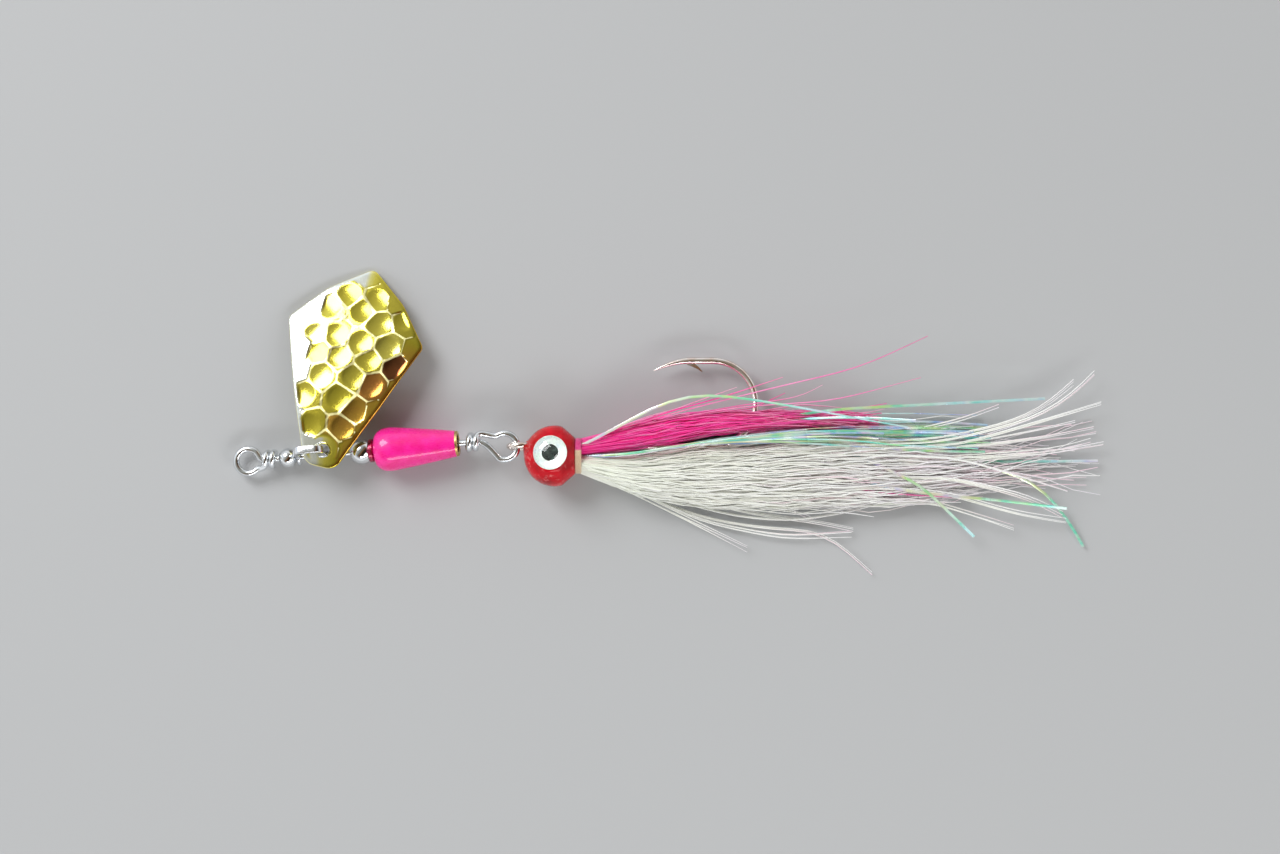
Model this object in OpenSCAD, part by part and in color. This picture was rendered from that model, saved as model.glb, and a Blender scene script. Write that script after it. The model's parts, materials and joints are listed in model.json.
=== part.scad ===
// Inline spinner with a hair jig, lying on its side as it rests on a table.
//
// Frame: X runs from the line tie to the tips of the hair, Y to the side that
// the blade and the hook point lie on, Z up. The origin is the centre of the
// footprint, on the table. All sizes are millimetres.
//
// The spinner is drawn along its own axis, u, with v across it and w upwards,
// and place_spinner() lays it down. The jig is drawn from the link, with x
// along the shank, and place_jig() lays it down.

/* [Wire shaft] */
// Diameter of the stainless wire
wire_d = 0.8; // [0.6:0.05:1.1]
// Centre-line radius of the line-tie loop
tie_loop_r = 1.5; // [1.2:0.05:2.2]
// Centre-line radius of the rear loop that holds the jig
rear_loop_r = 1.62; // [1.3:0.02:2.4]
// Turns of wire wrapped behind the line-tie loop
tie_turns = 1.4; // [1:0.1:2.5]
// Turns of wire wrapped in front of the rear loop
rear_turns = 1.5; // [1:0.1:2.5]
// Gap between a wrapped turn and the shaft or the next turn
wrap_gap = 0.03; // [0.02:0.01:0.1]

/* [Beads] */
// Diameter of the small bead in front of the clevis
front_bead_d = 2.38; // [2:0.02:3.2]
// Diameter of the bead in front of the body
mid_bead_d = 3.175; // [2.4:0.005:4]
// Radial clearance of everything that turns on the shaft
running_fit = 0.05; // [0.02:0.01:0.1]
// Gap left along the shaft between pieces that touch in use
end_gap = 0.05; // [0.03:0.01:0.2]

/* [Clevis] */
// Length of the folded clevis along the shaft
clevis_l = 3.8; // [3.2:0.1:6]
// Height of the bow over the shaft's axis
clevis_h = 4.1; // [3.6:0.1:6]
// Thickness of the clevis strip
strip_t = 0.42; // [0.3:0.02:0.6]
// Width of the clevis strip
strip_w = 0.95; // [0.7:0.05:1.2]
// Radius of the round ears on the shaft
ear_r = 1.05; // [0.9:0.05:1.3]
// Free travel of the clevis along the shaft
clevis_play = 2.65; // [0.5:0.05:6]

/* [Blade] */
// Distance from the blade's hole to its broad tip
blade_reach = 23.4; // [18:0.1:32]
// Half the blade's width at its corners
blade_half_w = 8.5; // [6:0.1:12]
// Where the corners are, from the hole
blade_corner = 15.35; // [11:0.05:20]
// Radius of the blade's narrow end
blade_end_r = 2; // [1.6:0.05:2.4]
// Thickness of the blade
blade_t = 0.5; // [0.35:0.05:0.8]
// Radius that the blade is dished to
blade_dish_r = 60; // [40:1:120]
// Radius of the hole that the clevis passes through
blade_hole_r = 0.8; // [0.7:0.02:1]
// Height of the blade on the clevis leg, over the shaft's axis
blade_ride = 2.25; // [1.9:0.05:2.6]
// Angle of the blade from the rearward direction of the shaft
blade_angle = 71.5; // [55:0.5:100]

/* [Body] */
// Length of the hollow body, without its front collar
body_l = 10.6; // [8:0.1:16]
// Largest radius of the body
body_r = 2.71; // [2.2:0.01:4]
// Radius of the body at its open rear end
body_rear_r = 1.55; // [1.3:0.05:3]
// Length of the rounded nose
nose_l = 2.35; // [1.5:0.05:4]
// Radius of the collar that the bead seats in
collar_r = 1.45; // [1.25:0.05:2]
// Length of the collar in front of the nose
collar_l = 0.5; // [0.3:0.05:1]
// How deep the bead sits in the collar
bead_seat = 0.62; // [0.3:0.02:0.8]
// Wall of the body
body_wall = 0.4; // [0.3:0.05:0.8]
// Length of the nose bore that runs on the shaft
nose_bore_l = 2.6; // [1.5:0.1:5]
// Free travel of the body along the shaft
body_play = 0.67; // [0.2:0.01:3]

/* [Hook] */
// Diameter of the hook wire
hook_wire_d = 0.84; // [0.6:0.02:1.1]
// Centre-line radius of the hook's eye
eye_ring_r = 1.2; // [1:0.05:1.8]
// Gap between the two wires where the jig hangs in the rear loop
link_gap = 0.14; // [0.1:0.01:0.3]
// Distance from the link to the centre of the bend
shank_l = 25; // [18:0.5:32]
// Centre-line radius of the bend
bend_r = 5.36; // [4:0.02:7]
// Length of the straight spear before the point
spear_l = 2.8; // [1:0.1:4]
// Length of the tapered point
point_l = 4.4; // [3:0.1:6]

/* [Jig head] */
// Radius of the ball head
head_r = 3.77; // [3:0.01:5]
// Distance from the link to the front of the head
head_front = 1.76; // [1.6:0.01:3]
// How far the centre of the head lies below the shank
head_drop = 1.17; // [0.6:0.01:1.5]
// Distance from the head's centre to its flat back
head_back = 2.55; // [2.2:0.05:3]
// Radius of the head's flat back, where the thread starts
back_r = 2.3; // [2.25:0.05:2.8]
// Radius of the neck behind the head
neck_r = 1.75; // [1.65:0.05:2.2]
// Length of the neck behind the flat back
neck_l = 0.8; // [0.5:0.05:1.6]
// Thickness of the hair roots laid round the neck
root_t = 0.24; // [0.15:0.01:0.4]
// Thickness of the thread wound over the roots
thread_t = 0.22; // [0.15:0.01:0.4]
// Radius of the eyes
eye_r = 2.1; // [1.5:0.05:2.5]
// Radius of the pupils
pupil_r = 1; // [0.6:0.05:1.4]
// Angle that the eyes look forward
eye_forward = 8; // [0:1:20]

/* [Hair] */
// Half the width of the split that the tinsel lies in
split_half = 0.25; // [0.2:0.01:0.5]
// Thickness of the tinsel bundles
tinsel_t = 0.3; // [0.15:0.01:0.36]

/* [Rest] */
// Turn of the shaft away from the X axis, seen from above
shaft_yaw = 4.85; // [0:0.05:10]
// Roll of the jig that lays its bend towards the table
jig_roll = 8; // [0:0.5:10]

/* [Hidden] */

$fn = 64;
wire_r = wire_d/2;
bore_r = wire_r + running_fit;
hook_wire_r = hook_wire_d/2;
table_gap = 0.02;     // what lies on the table stays this far above it
tube_sides = 8;
facet_fn = 24;        // for the small balls that are hulled together

// Each wire loop leaves the shaft, runs round, crosses over the shaft and is
// wrapped back along it. Lengths are in wire diameters, angles in degrees:
// [drop of the loop's centre, angle where the loop opens, bend and wrap from
//  the loop's near side, angle of the first wrap, four curve handles]
tie_shape = [0, 51.9, 0.825, 0.9, 61.8, [0.99, 0.7, 0.575, 1.21]];
rear_shape = [1.075, 64.75, 2.04, 2.14, 56.9, [1.39, 0.41, 0.96, 1.71]];
wrap_pitch = wire_d + wrap_gap;

// Stations along the shaft's axis u, from the centre of the line-tie loop
tie_wrap_end = tie_loop_r + tie_shape[3]*wire_d + tie_turns*wrap_pitch + wire_r;
front_bead_u = tie_wrap_end + end_gap + front_bead_d/2;
clevis_u = front_bead_u + front_bead_d/2 + end_gap;
blade_u = clevis_u + clevis_l - strip_t/2;
mid_bead_u = clevis_u + clevis_l + clevis_play + mid_bead_d/2;
collar_u = mid_bead_u + mid_bead_d/2 - bead_seat;
nose_u = collar_u + collar_l;
body_end_u = nose_u + body_l;
rear_wrap_u = body_end_u + body_play;
rear_loop_u = rear_wrap_u + wire_r + rear_turns*wrap_pitch
    + rear_shape[3]*wire_d + rear_loop_r;
rear_drop = rear_shape[0]*wire_d;

head_x = head_front + head_r;

// The jig rests on its head, and the spinner on its body and its blade
link_z = head_r + table_gap - head_drop*sin(jig_roll);
link_reach = wire_r + hook_wire_r + link_gap;
rear_loop_x = link_reach - rear_loop_r;
body_belly_u = nose_u + nose_l;
spinner_tilt = asin((link_z - body_r - table_gap)/(rear_loop_u - body_belly_u));
blade_axis_z = link_z - (rear_loop_u - blade_u)*sin(spinner_tilt);
blade_rise = blade_axis_z + blade_ride + blade_reach*cos(blade_angle)*sin(spinner_tilt)
    - blade_t/2 - table_gap;
clevis_lean = asin(blade_rise/(blade_reach*sin(blade_angle)));

// Plan of the hair, from its root to its tips. Each row is one station:
// [x from the link, lower edge, split, upper edge, bottom, top]
root_x = head_x + head_back + neck_l + 0.1;
hair_plan = [
    [root_x, -3.2, -1.15, 1, 2, 5.4],
    [11.5, -4.4, -1.1, 1.6, 1.1, 5.7],
    [16, -6, -0.7, 2.9, 0.5, 5.9],
    [20, -7, 0.1, 3.8, 0.2, 5.8],
    [25, -7.7, 1, 4.4, 0.05, 5.5],
    [34, -8, 2, 4.4, 0.05, 4.9],
    [40, -7.9, 2.4, 3.8, 0.05, 4.3],
    [44, -7.7, 2.5, 3.1, 0.05, 3.9],
    [52, -7.2, 2.4, 0, 0.05, 3.4],
    [59, -6.3, 2.1, 0, 0.05, 2.8],
    [66, -4.8, 1.6, 0, 0.05, 2],
    [72, -3.2, 0.6, 0, 0.05, 1.1]];
hair_gap = 0.04;         // between the hair and the hook wire it lies round
pink_rows = 8;
tinsel_rows = 10;
tinsel_share = 0.2;      // of the hair's depth that one tinsel bundle fills
tinsel_out = 0.18;       // of the hair's depth from its middle to the tinsel
bend_sag = 0.35;         // of the rolled bend, where it crosses the split
hair_squareness = 0.8;   // of a bundle's section: 1 is an ellipse, 0 a box

// Box of the whole lure about the link, which sets the origin
x_low = rear_loop_x - (rear_loop_u + tie_loop_r + wire_r)*cos(shaft_yaw);
x_high = hair_plan[len(hair_plan) - 1][0];
y_low = min([for (row = hair_plan) row[1]]);
y_high = rear_drop - (rear_loop_u - blade_u)*sin(shaft_yaw)
    + blade_reach*sin(blade_angle + shaft_yaw) + blade_ride*sin(clevis_lean);
link_place = [-(x_low + x_high)/2, -(y_low + y_high)/2, link_z];

function unit(v) = v/norm(v);
function on_curve(a, b, c, d, t) =
    a*pow(1 - t, 3) + 3*b*t*pow(1 - t, 2) + 3*c*t*t*(1 - t) + d*pow(t, 3);
function curve(a, b, c, d, n) = [for (i = [0:n - 1]) on_curve(a, b, c, d, i/n)];

// Centre line of a loop with its centre at the origin and its shaft on -x
function loop_path(r, shape, turns) =
    let (open = shape[1], phi = shape[4], handle = shape[5]*wire_d,
         lift = shape[0]*wire_d,
         start = [-r - shape[2]*wire_d, lift, 0],
         wrap = [-r - shape[3]*wire_d, lift, 0],
         down = [-r*cos(open), -r*sin(open), 0],
         down_way = [sin(open), -cos(open), 0],
         up = [-r*cos(open), r*sin(open), 0],
         up_way = [-sin(open), -cos(open), 0],
         first = wrap + wrap_pitch*[0, cos(phi), sin(phi)],
         first_way = unit([-1/(2*PI), -sin(phi), cos(phi)]),
         sweep = 360 - 2*open, arc_n = 22, wrap_n = ceil(14*turns))
    concat(
        [start - [1.2*wire_d, 0, 0]],
        curve(start, start + [handle[0], 0, 0], down - handle[1]*down_way, down, 9),
        [for (i = [0:arc_n - 1]) let (a = 180 + open + sweep*i/arc_n) r*[cos(a), sin(a), 0]],
        curve(up, up + handle[2]*up_way, first - handle[3]*first_way, first, 10),
        [for (i = [0:wrap_n]) let (a = phi + 360*turns*i/wrap_n)
            wrap + wrap_pitch*[-turns*i/wrap_n, cos(a), sin(a)]]);

function ways(p) = [for (i = [0:len(p) - 1])
    unit(p[min(i + 1, len(p) - 1)] - p[max(i - 1, 0)])];
function square_to(n, way) = unit(n - (n*way)*way);
function normals(way) = [for (i = 0, n = square_to([0, 0, 1], way[0]); i < len(way);
    i = i + 1, n = i < len(way) ? square_to(n, way[i]) : n) n];

// Skin of triangles over rings of the same count, with flat ends
module skin(rings) {
    count = len(rings[0]);
    last = len(rings) - 1;
    polyhedron(
        [for (ring = rings) each ring],
        concat(
            [[for (k = [0:count - 1]) k]],
            [for (i = [0:last - 1], k = [0:count - 1])
                let (a = i*count + k, b = i*count + (k + 1)%count)
                each [[a, a + count, b + count], [a, b + count, b]]],
            [[for (k = [count - 1:-1:0]) last*count + k]]),
        convexity = 10);
}

// Round tube along a path, with one radius or a list of them
module tube(path, r) {
    way = ways(path);
    n = normals(way);
    skin([for (i = [0:len(path) - 1])
        let (ri = is_list(r) ? r[i] : r, side = cross(way[i], n[i]))
        [for (k = [0:tube_sides - 1]) let (a = 360*k/tube_sides)
            path[i] + ri*(cos(a)*n[i] + sin(a)*side)]]);
}

module along_x(x0, x1, r) {
    translate([x0, 0, 0]) rotate([0, 90, 0]) cylinder(h = x1 - x0, r = r);
}

module turned_x(profile) {
    rotate([0, 90, 0]) rotate([0, 0, 90]) rotate_extrude() polygon(profile);
}

module place_spinner() {
    translate(link_place + [rear_loop_x, 0, 0])
    rotate([0, -spinner_tilt, shaft_yaw])
    translate([-rear_loop_u, rear_drop, 0])
    children();
}

module place_clevis() {
    place_spinner() rotate([-clevis_lean, 0, 0]) children();
}

module place_jig() {
    translate(link_place) rotate([-jig_roll, 0, 0]) children();
}

module place_head() {
    place_jig() translate([head_x, -head_drop, 0]) children();
}

module place_eye(side) {
    place_head() mirror([0, 0, side < 0 ? 1 : 0]) rotate([0, -eye_forward, 0])
        translate([0, 0, eye_seat]) children();
}

module wire_shaft() {
    loop_wire_r = 0.98*wire_r;
    tie_bend_u = tie_loop_r + tie_shape[2]*wire_d;
    rear_bend_u = rear_loop_u - rear_loop_r - rear_shape[2]*wire_d;
    color("silver") place_spinner() {
        along_x(tie_bend_u, rear_bend_u, wire_r);
        rotate([0, 0, 180]) tube(loop_path(tie_loop_r, tie_shape, tie_turns), loop_wire_r);
        translate([rear_loop_u, -rear_drop, 0])
            tube(loop_path(rear_loop_r, rear_shape, rear_turns), loop_wire_r);
    }
}

module bead(d) {
    rotate([0, 90, 0]) rotate_extrude() difference() {
        circle(d = d);
        translate([-d, -d]) square([d + bore_r, 2*d]);
    }
}

module front_bead() {
    color("gainsboro") place_spinner() translate([front_bead_u, 0, 0]) bead(front_bead_d);
}

module mid_bead() {
    color("gainsboro") place_spinner() translate([mid_bead_u, 0, 0]) bead(mid_bead_d);
}

// Side view of the bow: [along the shaft, height], with round corners
function bow_outline(l, h, r) = concat(
    [[0, 0]],
    [for (a = [180:-15:90]) [r + r*cos(a), h - r + r*sin(a)]],
    [for (a = [90:-15:0]) [l - r + r*cos(a), h - r + r*sin(a)]],
    [[l, 0]]);

module clevis() {
    bow_r = 1.1;
    color("lightsteelblue") place_clevis() translate([clevis_u, 0, 0]) difference() {
        union() {
            rotate([90, 0, 0]) linear_extrude(strip_w, center = true) difference() {
                polygon(bow_outline(clevis_l, clevis_h, bow_r));
                translate([strip_t, -1])
                    polygon(bow_outline(clevis_l - 2*strip_t, clevis_h - strip_t + 1,
                        bow_r - strip_t));
            }
            along_x(0, strip_t, ear_r);
            along_x(clevis_l - strip_t, clevis_l, ear_r);
        }
        along_x(-1, clevis_l + 1, bore_r);
    }
}

// Corner of an outline, rounded with radius r
function round_corner(before, p, after, r, n = 6) =
    let (u0 = unit(before - p), u1 = unit(after - p),
         half = acos(u0*u1)/2, c = p + unit(u0 + u1)*r/sin(half),
         from = p + u0*r/tan(half) - c, turn = sign(cross(from, p - c))*(180 - 2*half))
    [for (i = [0:n]) let (a = turn*i/n)
        c + [from[0]*cos(a) - from[1]*sin(a), from[0]*sin(a) + from[1]*cos(a)]];

// Kite outline: x along the blade from its hole, y across it, and the radius
// of the corner there. A sharp corner stands out past the blade's own size,
// because rounding it brings the edge back in.
side_out = 0.35;         // at the widest corners
tip_out = 0.45;          // at the broad tip
side_bulge = 0.82;       // of the long edges, off the straight
tip_bulge = 0.7;         // of the short edges
side_share = 0.43;       // of the way to the widest corner, where the long edge bends
side_corner_r = 1;
tip_corner_r = 1.1;
side_bend_r = 20;
tip_bend_r = 6;
blade_side = [
    [-blade_end_r, blade_end_r, 0.95*blade_end_r],
    [side_share*blade_corner,
     blade_end_r + side_share*(blade_half_w - blade_end_r) + side_bulge, side_bend_r],
    [blade_corner, blade_half_w + side_out, side_corner_r],
    [(blade_corner + blade_reach)/2 + tip_bulge, blade_half_w/2 + tip_bulge, tip_bend_r]];
blade_tip = [blade_reach + tip_out, 0, tip_corner_r];
blade_corners = concat(
    [for (i = [3:-1:0]) [blade_side[i][0], -blade_side[i][1], blade_side[i][2]]],
    blade_side, [blade_tip]);

module blade_outline() {
    n = len(blade_corners);
    flat = [for (c = blade_corners) [c[0], c[1]]];
    polygon([for (i = [0:n - 1])
        each round_corner(flat[(i + n - 1)%n], flat[i], flat[(i + 1)%n],
            blade_corners[i][2])]);
}

module blade() {
    mid = blade_reach/2;
    dish_z = -sqrt(blade_dish_r*blade_dish_r - mid*mid);
    color("gold") place_clevis() translate([blade_u, 0, blade_ride])
    rotate([0, 0, blade_angle]) difference() {
        intersection() {
            linear_extrude(8, center = true) blade_outline();
            translate([mid, 0, dish_z]) difference() {
                sphere(r = blade_dish_r + blade_t/2, $fn = 180);
                sphere(r = blade_dish_r - blade_t/2, $fn = 180);
            }
        }
        cylinder(h = 4, r = blade_hole_r, center = true);
    }
}

// Outer radius of the body at a distance back from the tip of its nose
function nose_radius(x) = body_r*pow(1 - pow((nose_l - x)/nose_l, 3), 1/3);

module body_shell() {
    nose_steps = 12;
    taper = (body_r - body_rear_r)/(body_l - nose_l);
    cavity_u = nose_bore_l;
    cavity_r = body_r - taper*(cavity_u + 0.8 - nose_l) - body_wall;
    nose_x0 = nose_l*(1 - pow(1 - pow((collar_r - 0.2)/body_r, 3), 1/3));
    outline = concat(
        [for (i = [0:nose_steps]) let (x = nose_x0 + (nose_l - nose_x0)*pow(i/nose_steps, 1.6))
            [nose_radius(x), x]],
        [[body_rear_r, body_l],
         [body_rear_r - body_wall, body_l],
         [cavity_r, cavity_u + 0.8],
         [bore_r + 0.3, cavity_u],
         [bore_r, cavity_u],
         [bore_r, -collar_l],
         [collar_r, -collar_l],
         [collar_r, nose_x0 - 0.12],
         [collar_r - 0.2, nose_x0]]);
    color("deeppink") place_spinner() difference() {
        translate([nose_u, 0, 0]) turned_x(outline);
        translate([mid_bead_u, 0, 0]) sphere(d = mid_bead_d + 2*end_gap);
    }
}

module shank(r) {
    along_x(2*eye_ring_r, shank_l, r);
}

module eye_ring(r) {
    translate([eye_ring_r, 0, 0]) rotate([90, 0, 0])
        rotate_extrude() translate([eye_ring_r, 0]) circle(r = r);
}

module bend(r) {
    translate([shank_l, bend_r, 0])
        rotate_extrude(angle = 180, start = -90) translate([bend_r, 0]) circle(r = r);
}

module jig_hook() {
    spear_x = shank_l - spear_l;
    spear_y = 2*bend_r;
    // Each station of the point: [share of its length, drop, share of the wire's radius]
    point = [[-0.12, 0, 0.95], [0, 0, 0.95], [0.35, 0.2, 0.8], [0.7, 0.65, 0.5], [1, 1.25, 0.1]];
    // The barb: [back from the spear's front end, drop, radius]
    barb = [[-0.2, 0.2, 0.2], [0.7, 0.2, 0.2], [1.5, 1.35, 0.06]];
    color("silver") place_jig() {
        shank(hook_wire_r);
        bend(hook_wire_r);
        eye_ring(hook_wire_r);
        translate([0, spear_y, 0]) {
            along_x(spear_x, shank_l, hook_wire_r);
            tube([for (p = point) [spear_x - p[0]*point_l, -p[1], 0]],
                [for (p = point) p[2]*hook_wire_r]);
            hull() for (b = barb)
                translate([spear_x + b[0], -b[1], 0]) sphere(r = b[2], $fn = facet_fn);
        }
    }
}

// The eyes sit in round flats, cut so deep that each flat is as wide as its eye
eye_seat = sqrt(head_r*head_r - pow(eye_r + 0.04, 2));
foil_t = 0.1;
pupil_t = 0.06;
dome_h = head_r - eye_seat - foil_t - 0.05;
neck_end = head_back + neck_l;
back_slope = 0.9;    // how fast the head's back tapers, radius per length
lap_gap = 0.02;       // between neck, hair roots and thread
cast_gap = 0.03;      // between the cast head and the hook's eye

module for_eyes() {
    intersection_for (side = [0, 1]) mirror([0, 0, side]) rotate([0, -eye_forward, 0])
        children();
}

// A cone about x that narrows to radius r at x1.
module along_cone(x0, x1, r, slope) {
    translate([x0, 0, 0]) rotate([0, 90, 0])
        cylinder(h = x1 - x0, r1 = r + slope*(x1 - x0), r2 = r);
}

module jig_head() {
    color("crimson") difference() {
        place_head() union() {
            intersection() {
                sphere(r = head_r);
                for_eyes() translate([0, 0, eye_seat - 2*head_r])
                    cube(4*head_r, center = true);
                translate([head_back - 2*head_r, 0, 0]) cube(4*head_r, center = true);
                // the back tapers down to the thread
                along_cone(-head_r - 1, head_back, back_r, back_slope);
            }
            along_x(0, neck_end, neck_r);
        }
        place_jig() shank(hook_wire_r);
        place_jig() eye_ring(hook_wire_r + cast_gap);
    }
}

module eye_foil(side) {
    color("white") place_eye(side) cylinder(h = foil_t, r = eye_r);
}

module eye_pupil(side) {
    color("darkslategray") place_eye(side) translate([0, 0, foil_t])
        cylinder(h = pupil_t, r = pupil_r);
}

module eye_dome(side) {
    dome_r = (eye_r*eye_r + dome_h*dome_h)/(2*dome_h);
    color("azure", 0.4) place_eye(side) translate([0, 0, foil_t]) difference() {
        intersection() {
            translate([0, 0, dome_h - dome_r]) sphere(r = dome_r, $fn = 96);
            cylinder(h = 2*dome_h, r = eye_r);
        }
        translate([0, 0, -1]) cylinder(h = 1 + pupil_t, r = pupil_r);
    }
}

module thread_wrap() {
    turns = 5;
    lap = neck_l/turns;
    under = neck_r + root_t + lap_gap;
    ridge_h = thread_t/3;
    ridges = [for (i = [0:turns - 1], k = [0:3]) let (a = 180*(k + 0.5)/4)
        [under + thread_t - ridge_h*(1 - sin(a)), lap*(i + 0.5 - 0.48*cos(a))]];
    color("bisque") place_head() translate([head_back, 0, 0])
        turned_x(concat([[under, 0]], ridges, [[under, neck_l]]));
}

// Part of the hair roots that the thread holds on the neck, on one side of
// the split
module roots(upper) {
    split = hair_plan[0][2] + head_drop;
    inset = split_half + 0.06;
    block = 4*neck_r;
    place_head() intersection() {
        difference() {
            along_x(head_back + lap_gap, neck_end + 0.6, neck_r + root_t);
            along_x(head_back - 1, neck_end + lap_gap, neck_r + lap_gap/2);
        }
        translate([0, split + (upper ? inset : -inset - block), -block/2]) cube(block);
    }
}

// Lofted bundle of hair between two edges of the plan
module bundle(rows, low, high) {
    sides = 16;
    skin([for (row = rows)
        let (y0 = low(row), y1 = high(row), half_z = (row[5] - row[4])/2,
             mid_z = (row[5] + row[4])/2 - link_z)
        [for (k = [0:sides - 1]) let (a = 360*k/sides, c = cos(a), s = sin(a))
            [row[0], (y0 + y1)/2 + (y1 - y0)/2*sign(c)*pow(abs(c), hair_squareness),
             mid_z + half_z*sign(s)*pow(abs(s), hair_squareness)]]]);
}

module hook_channel() {
    place_jig() {
        shank(hook_wire_r + hair_gap);
        bend(hook_wire_r + hair_gap);
    }
}

function rows(n) = [for (i = [0:n - 1]) hair_plan[i]];

module pink_hair() {
    color("hotpink") difference() {
        union() {
            translate(link_place)
                bundle(rows(pink_rows), function (r) r[2] + split_half, function (r) r[3]);
            roots(true);
        }
        hook_channel();
    }
}

module white_hair() {
    color("ivory") difference() {
        union() {
            translate(link_place)
                bundle(rows(len(hair_plan)), function (r) r[1], function (r) r[2] - split_half);
            roots(false);
        }
        hook_channel();
    }
}

// Tinsel lies in the split, in one bundle over the hook wire and one under it
function tinsel_z(row, side, half_z) =
    let (thick = row[5] - row[4], mid_z = (row[5] + row[4])/2 - link_z,
         z = mid_z + side*tinsel_out*thick,
         clear = hook_wire_r + hair_gap + half_z)
    row[0] > shank_l + 2*bend_r ? z : side*max(side*z, clear + (side < 0 ? bend_sag : 0));

module tinsel(side) {
    sides = 8;
    color("mediumaquamarine") translate(link_place)
    skin([for (row = rows(tinsel_rows))
        let (half_z = tinsel_share*(row[5] - row[4])/2, z = tinsel_z(row, side, half_z))
        [for (k = [0:sides - 1]) let (a = 360*k/sides)
            [row[0], row[2] + tinsel_t/2*cos(a), z + half_z*sin(a)]]]);
}

wire_shaft();
front_bead();
clevis();
blade();
mid_bead();
body_shell();
jig_hook();
jig_head();
eye_foil(1);  // eye_foil_upper
eye_pupil(1);  // eye_pupil_upper
eye_dome(1);  // eye_dome_upper
eye_foil(-1);  // eye_foil_lower
eye_pupil(-1);  // eye_pupil_lower
eye_dome(-1);  // eye_dome_lower
thread_wrap();
pink_hair();
white_hair();
tinsel(1);  // tinsel_upper
tinsel(-1);  // tinsel_lower
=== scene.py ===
import json
import math

import bmesh
import bpy
import numpy as np
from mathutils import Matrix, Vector
from mathutils.geometry import delaunay_2d_cdt


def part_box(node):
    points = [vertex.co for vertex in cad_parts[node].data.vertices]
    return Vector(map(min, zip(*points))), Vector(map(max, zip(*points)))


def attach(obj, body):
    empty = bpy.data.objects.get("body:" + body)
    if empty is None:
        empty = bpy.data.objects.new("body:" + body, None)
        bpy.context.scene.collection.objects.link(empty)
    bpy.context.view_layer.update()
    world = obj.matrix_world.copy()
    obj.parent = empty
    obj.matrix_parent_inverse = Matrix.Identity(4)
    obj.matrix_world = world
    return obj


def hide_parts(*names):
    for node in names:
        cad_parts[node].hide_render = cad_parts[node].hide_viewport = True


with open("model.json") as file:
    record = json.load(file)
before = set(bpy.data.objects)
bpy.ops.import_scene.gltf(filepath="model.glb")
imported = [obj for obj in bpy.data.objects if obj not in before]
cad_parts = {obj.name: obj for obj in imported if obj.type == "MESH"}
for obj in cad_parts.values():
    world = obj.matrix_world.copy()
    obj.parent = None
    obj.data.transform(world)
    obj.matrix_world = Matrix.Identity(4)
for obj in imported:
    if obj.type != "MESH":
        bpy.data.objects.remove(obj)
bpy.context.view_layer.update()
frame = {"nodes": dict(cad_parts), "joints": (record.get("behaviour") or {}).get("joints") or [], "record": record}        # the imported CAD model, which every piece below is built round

# Pieces are drawn in millimetres in the frames of part.scad, and placed from
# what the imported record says: the spinner along its own axis u from the
# line-tie loop, the jig from its link with x along the shank.
MM = 0.001
record = frame["record"]
joints = {j["name"]: j for j in frame["joints"]}
line_tie = record["mounts"][0]


def placing(origin, x_axis, z_axis):
    """4x4 matrix from a local frame in millimetres to the row frame in metres."""
    x = np.array(x_axis, float)
    x /= np.linalg.norm(x)
    z = np.array(z_axis, float)
    z -= (z @ x) * x
    z /= np.linalg.norm(z)
    m = np.eye(4)
    m[:3, 0], m[:3, 1], m[:3, 2] = x * MM, np.cross(z, x) * MM, z * MM
    m[:3, 3] = origin
    return m


JIG_ROLL = math.radians(8)
shaft_axis = joints["clevis_spin"]["axis"]
link = joints["jig_swing"]["pos_m"]
SHAFT = placing(line_tie["pos_m"], shaft_axis, line_tie["axis"])
CLEVIS = placing(line_tie["pos_m"], shaft_axis, joints["blade_swing"]["axis"])
JIG = placing(link, (1, 0, 0), (0, math.sin(JIG_ROLL), math.cos(JIG_ROLL)))
HAIR = placing(link, (1, 0, 0), (0, 0, 1))
LINK_Z = link[2] / MM

# Sizes from part.scad, in millimetres
WIRE_D, TIE_R, REAR_R = 0.8, 1.5, 1.62
WRAP_PITCH = WIRE_D + 0.03
REAR_U, REAR_DROP = 32.014, 0.86
BORE_R = 0.45
FRONT_BEAD_U, FRONT_BEAD_D = 5.022, 2.38
MID_BEAD_U, MID_BEAD_D = 14.2995, 3.175
CLEVIS_U, CLEVIS_L, CLEVIS_H, STRIP_T, STRIP_W, EAR_R = 6.262, 3.8, 4.1, 0.42, 0.95, 1.05
BLADE_U, BLADE_RIDE, BLADE_ANGLE, BLADE_T = 9.852, 2.25, math.radians(71.5), 0.5
BLADE_REACH, BLADE_DISH_R, BLADE_HOLE_R = 23.4, 60, 0.8
NOSE_U, BODY_L, BODY_R, BODY_REAR_R, NOSE_L = 15.767, 10.6, 2.71, 1.55, 2.35
BODY_WALL, COLLAR_R, COLLAR_L, NOSE_BORE_L, END_GAP = 0.4, 1.45, 0.5, 2.6, 0.05
HOOK_R, EYE_RING_R, SHANK_L, BEND_R, SPEAR_L, POINT_L = 0.42, 1.2, 25, 5.36, 2.8, 4.4
HEAD_R, HEAD_X, HEAD_DROP, HEAD_BACK = 3.77, 5.53, 1.17, 2.55
NECK_R, NECK_L, ROOT_T, THREAD_T = 1.75, 0.8, 0.24, 0.22
EYE_R, PUPIL_R, EYE_FORWARD, FOIL_T, PUPIL_T = 2.1, 1.0, math.radians(8), 0.1, 0.06
EYE_SEAT = math.sqrt(HEAD_R**2 - (EYE_R + 0.04)**2)
DOME_H = HEAD_R - EYE_SEAT - FOIL_T - 0.05


# ---------- mesh tools

def unit(v):
    v = np.asarray(v, float)
    return v / np.maximum(np.linalg.norm(v, axis=-1, keepdims=True), 1e-12)


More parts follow.
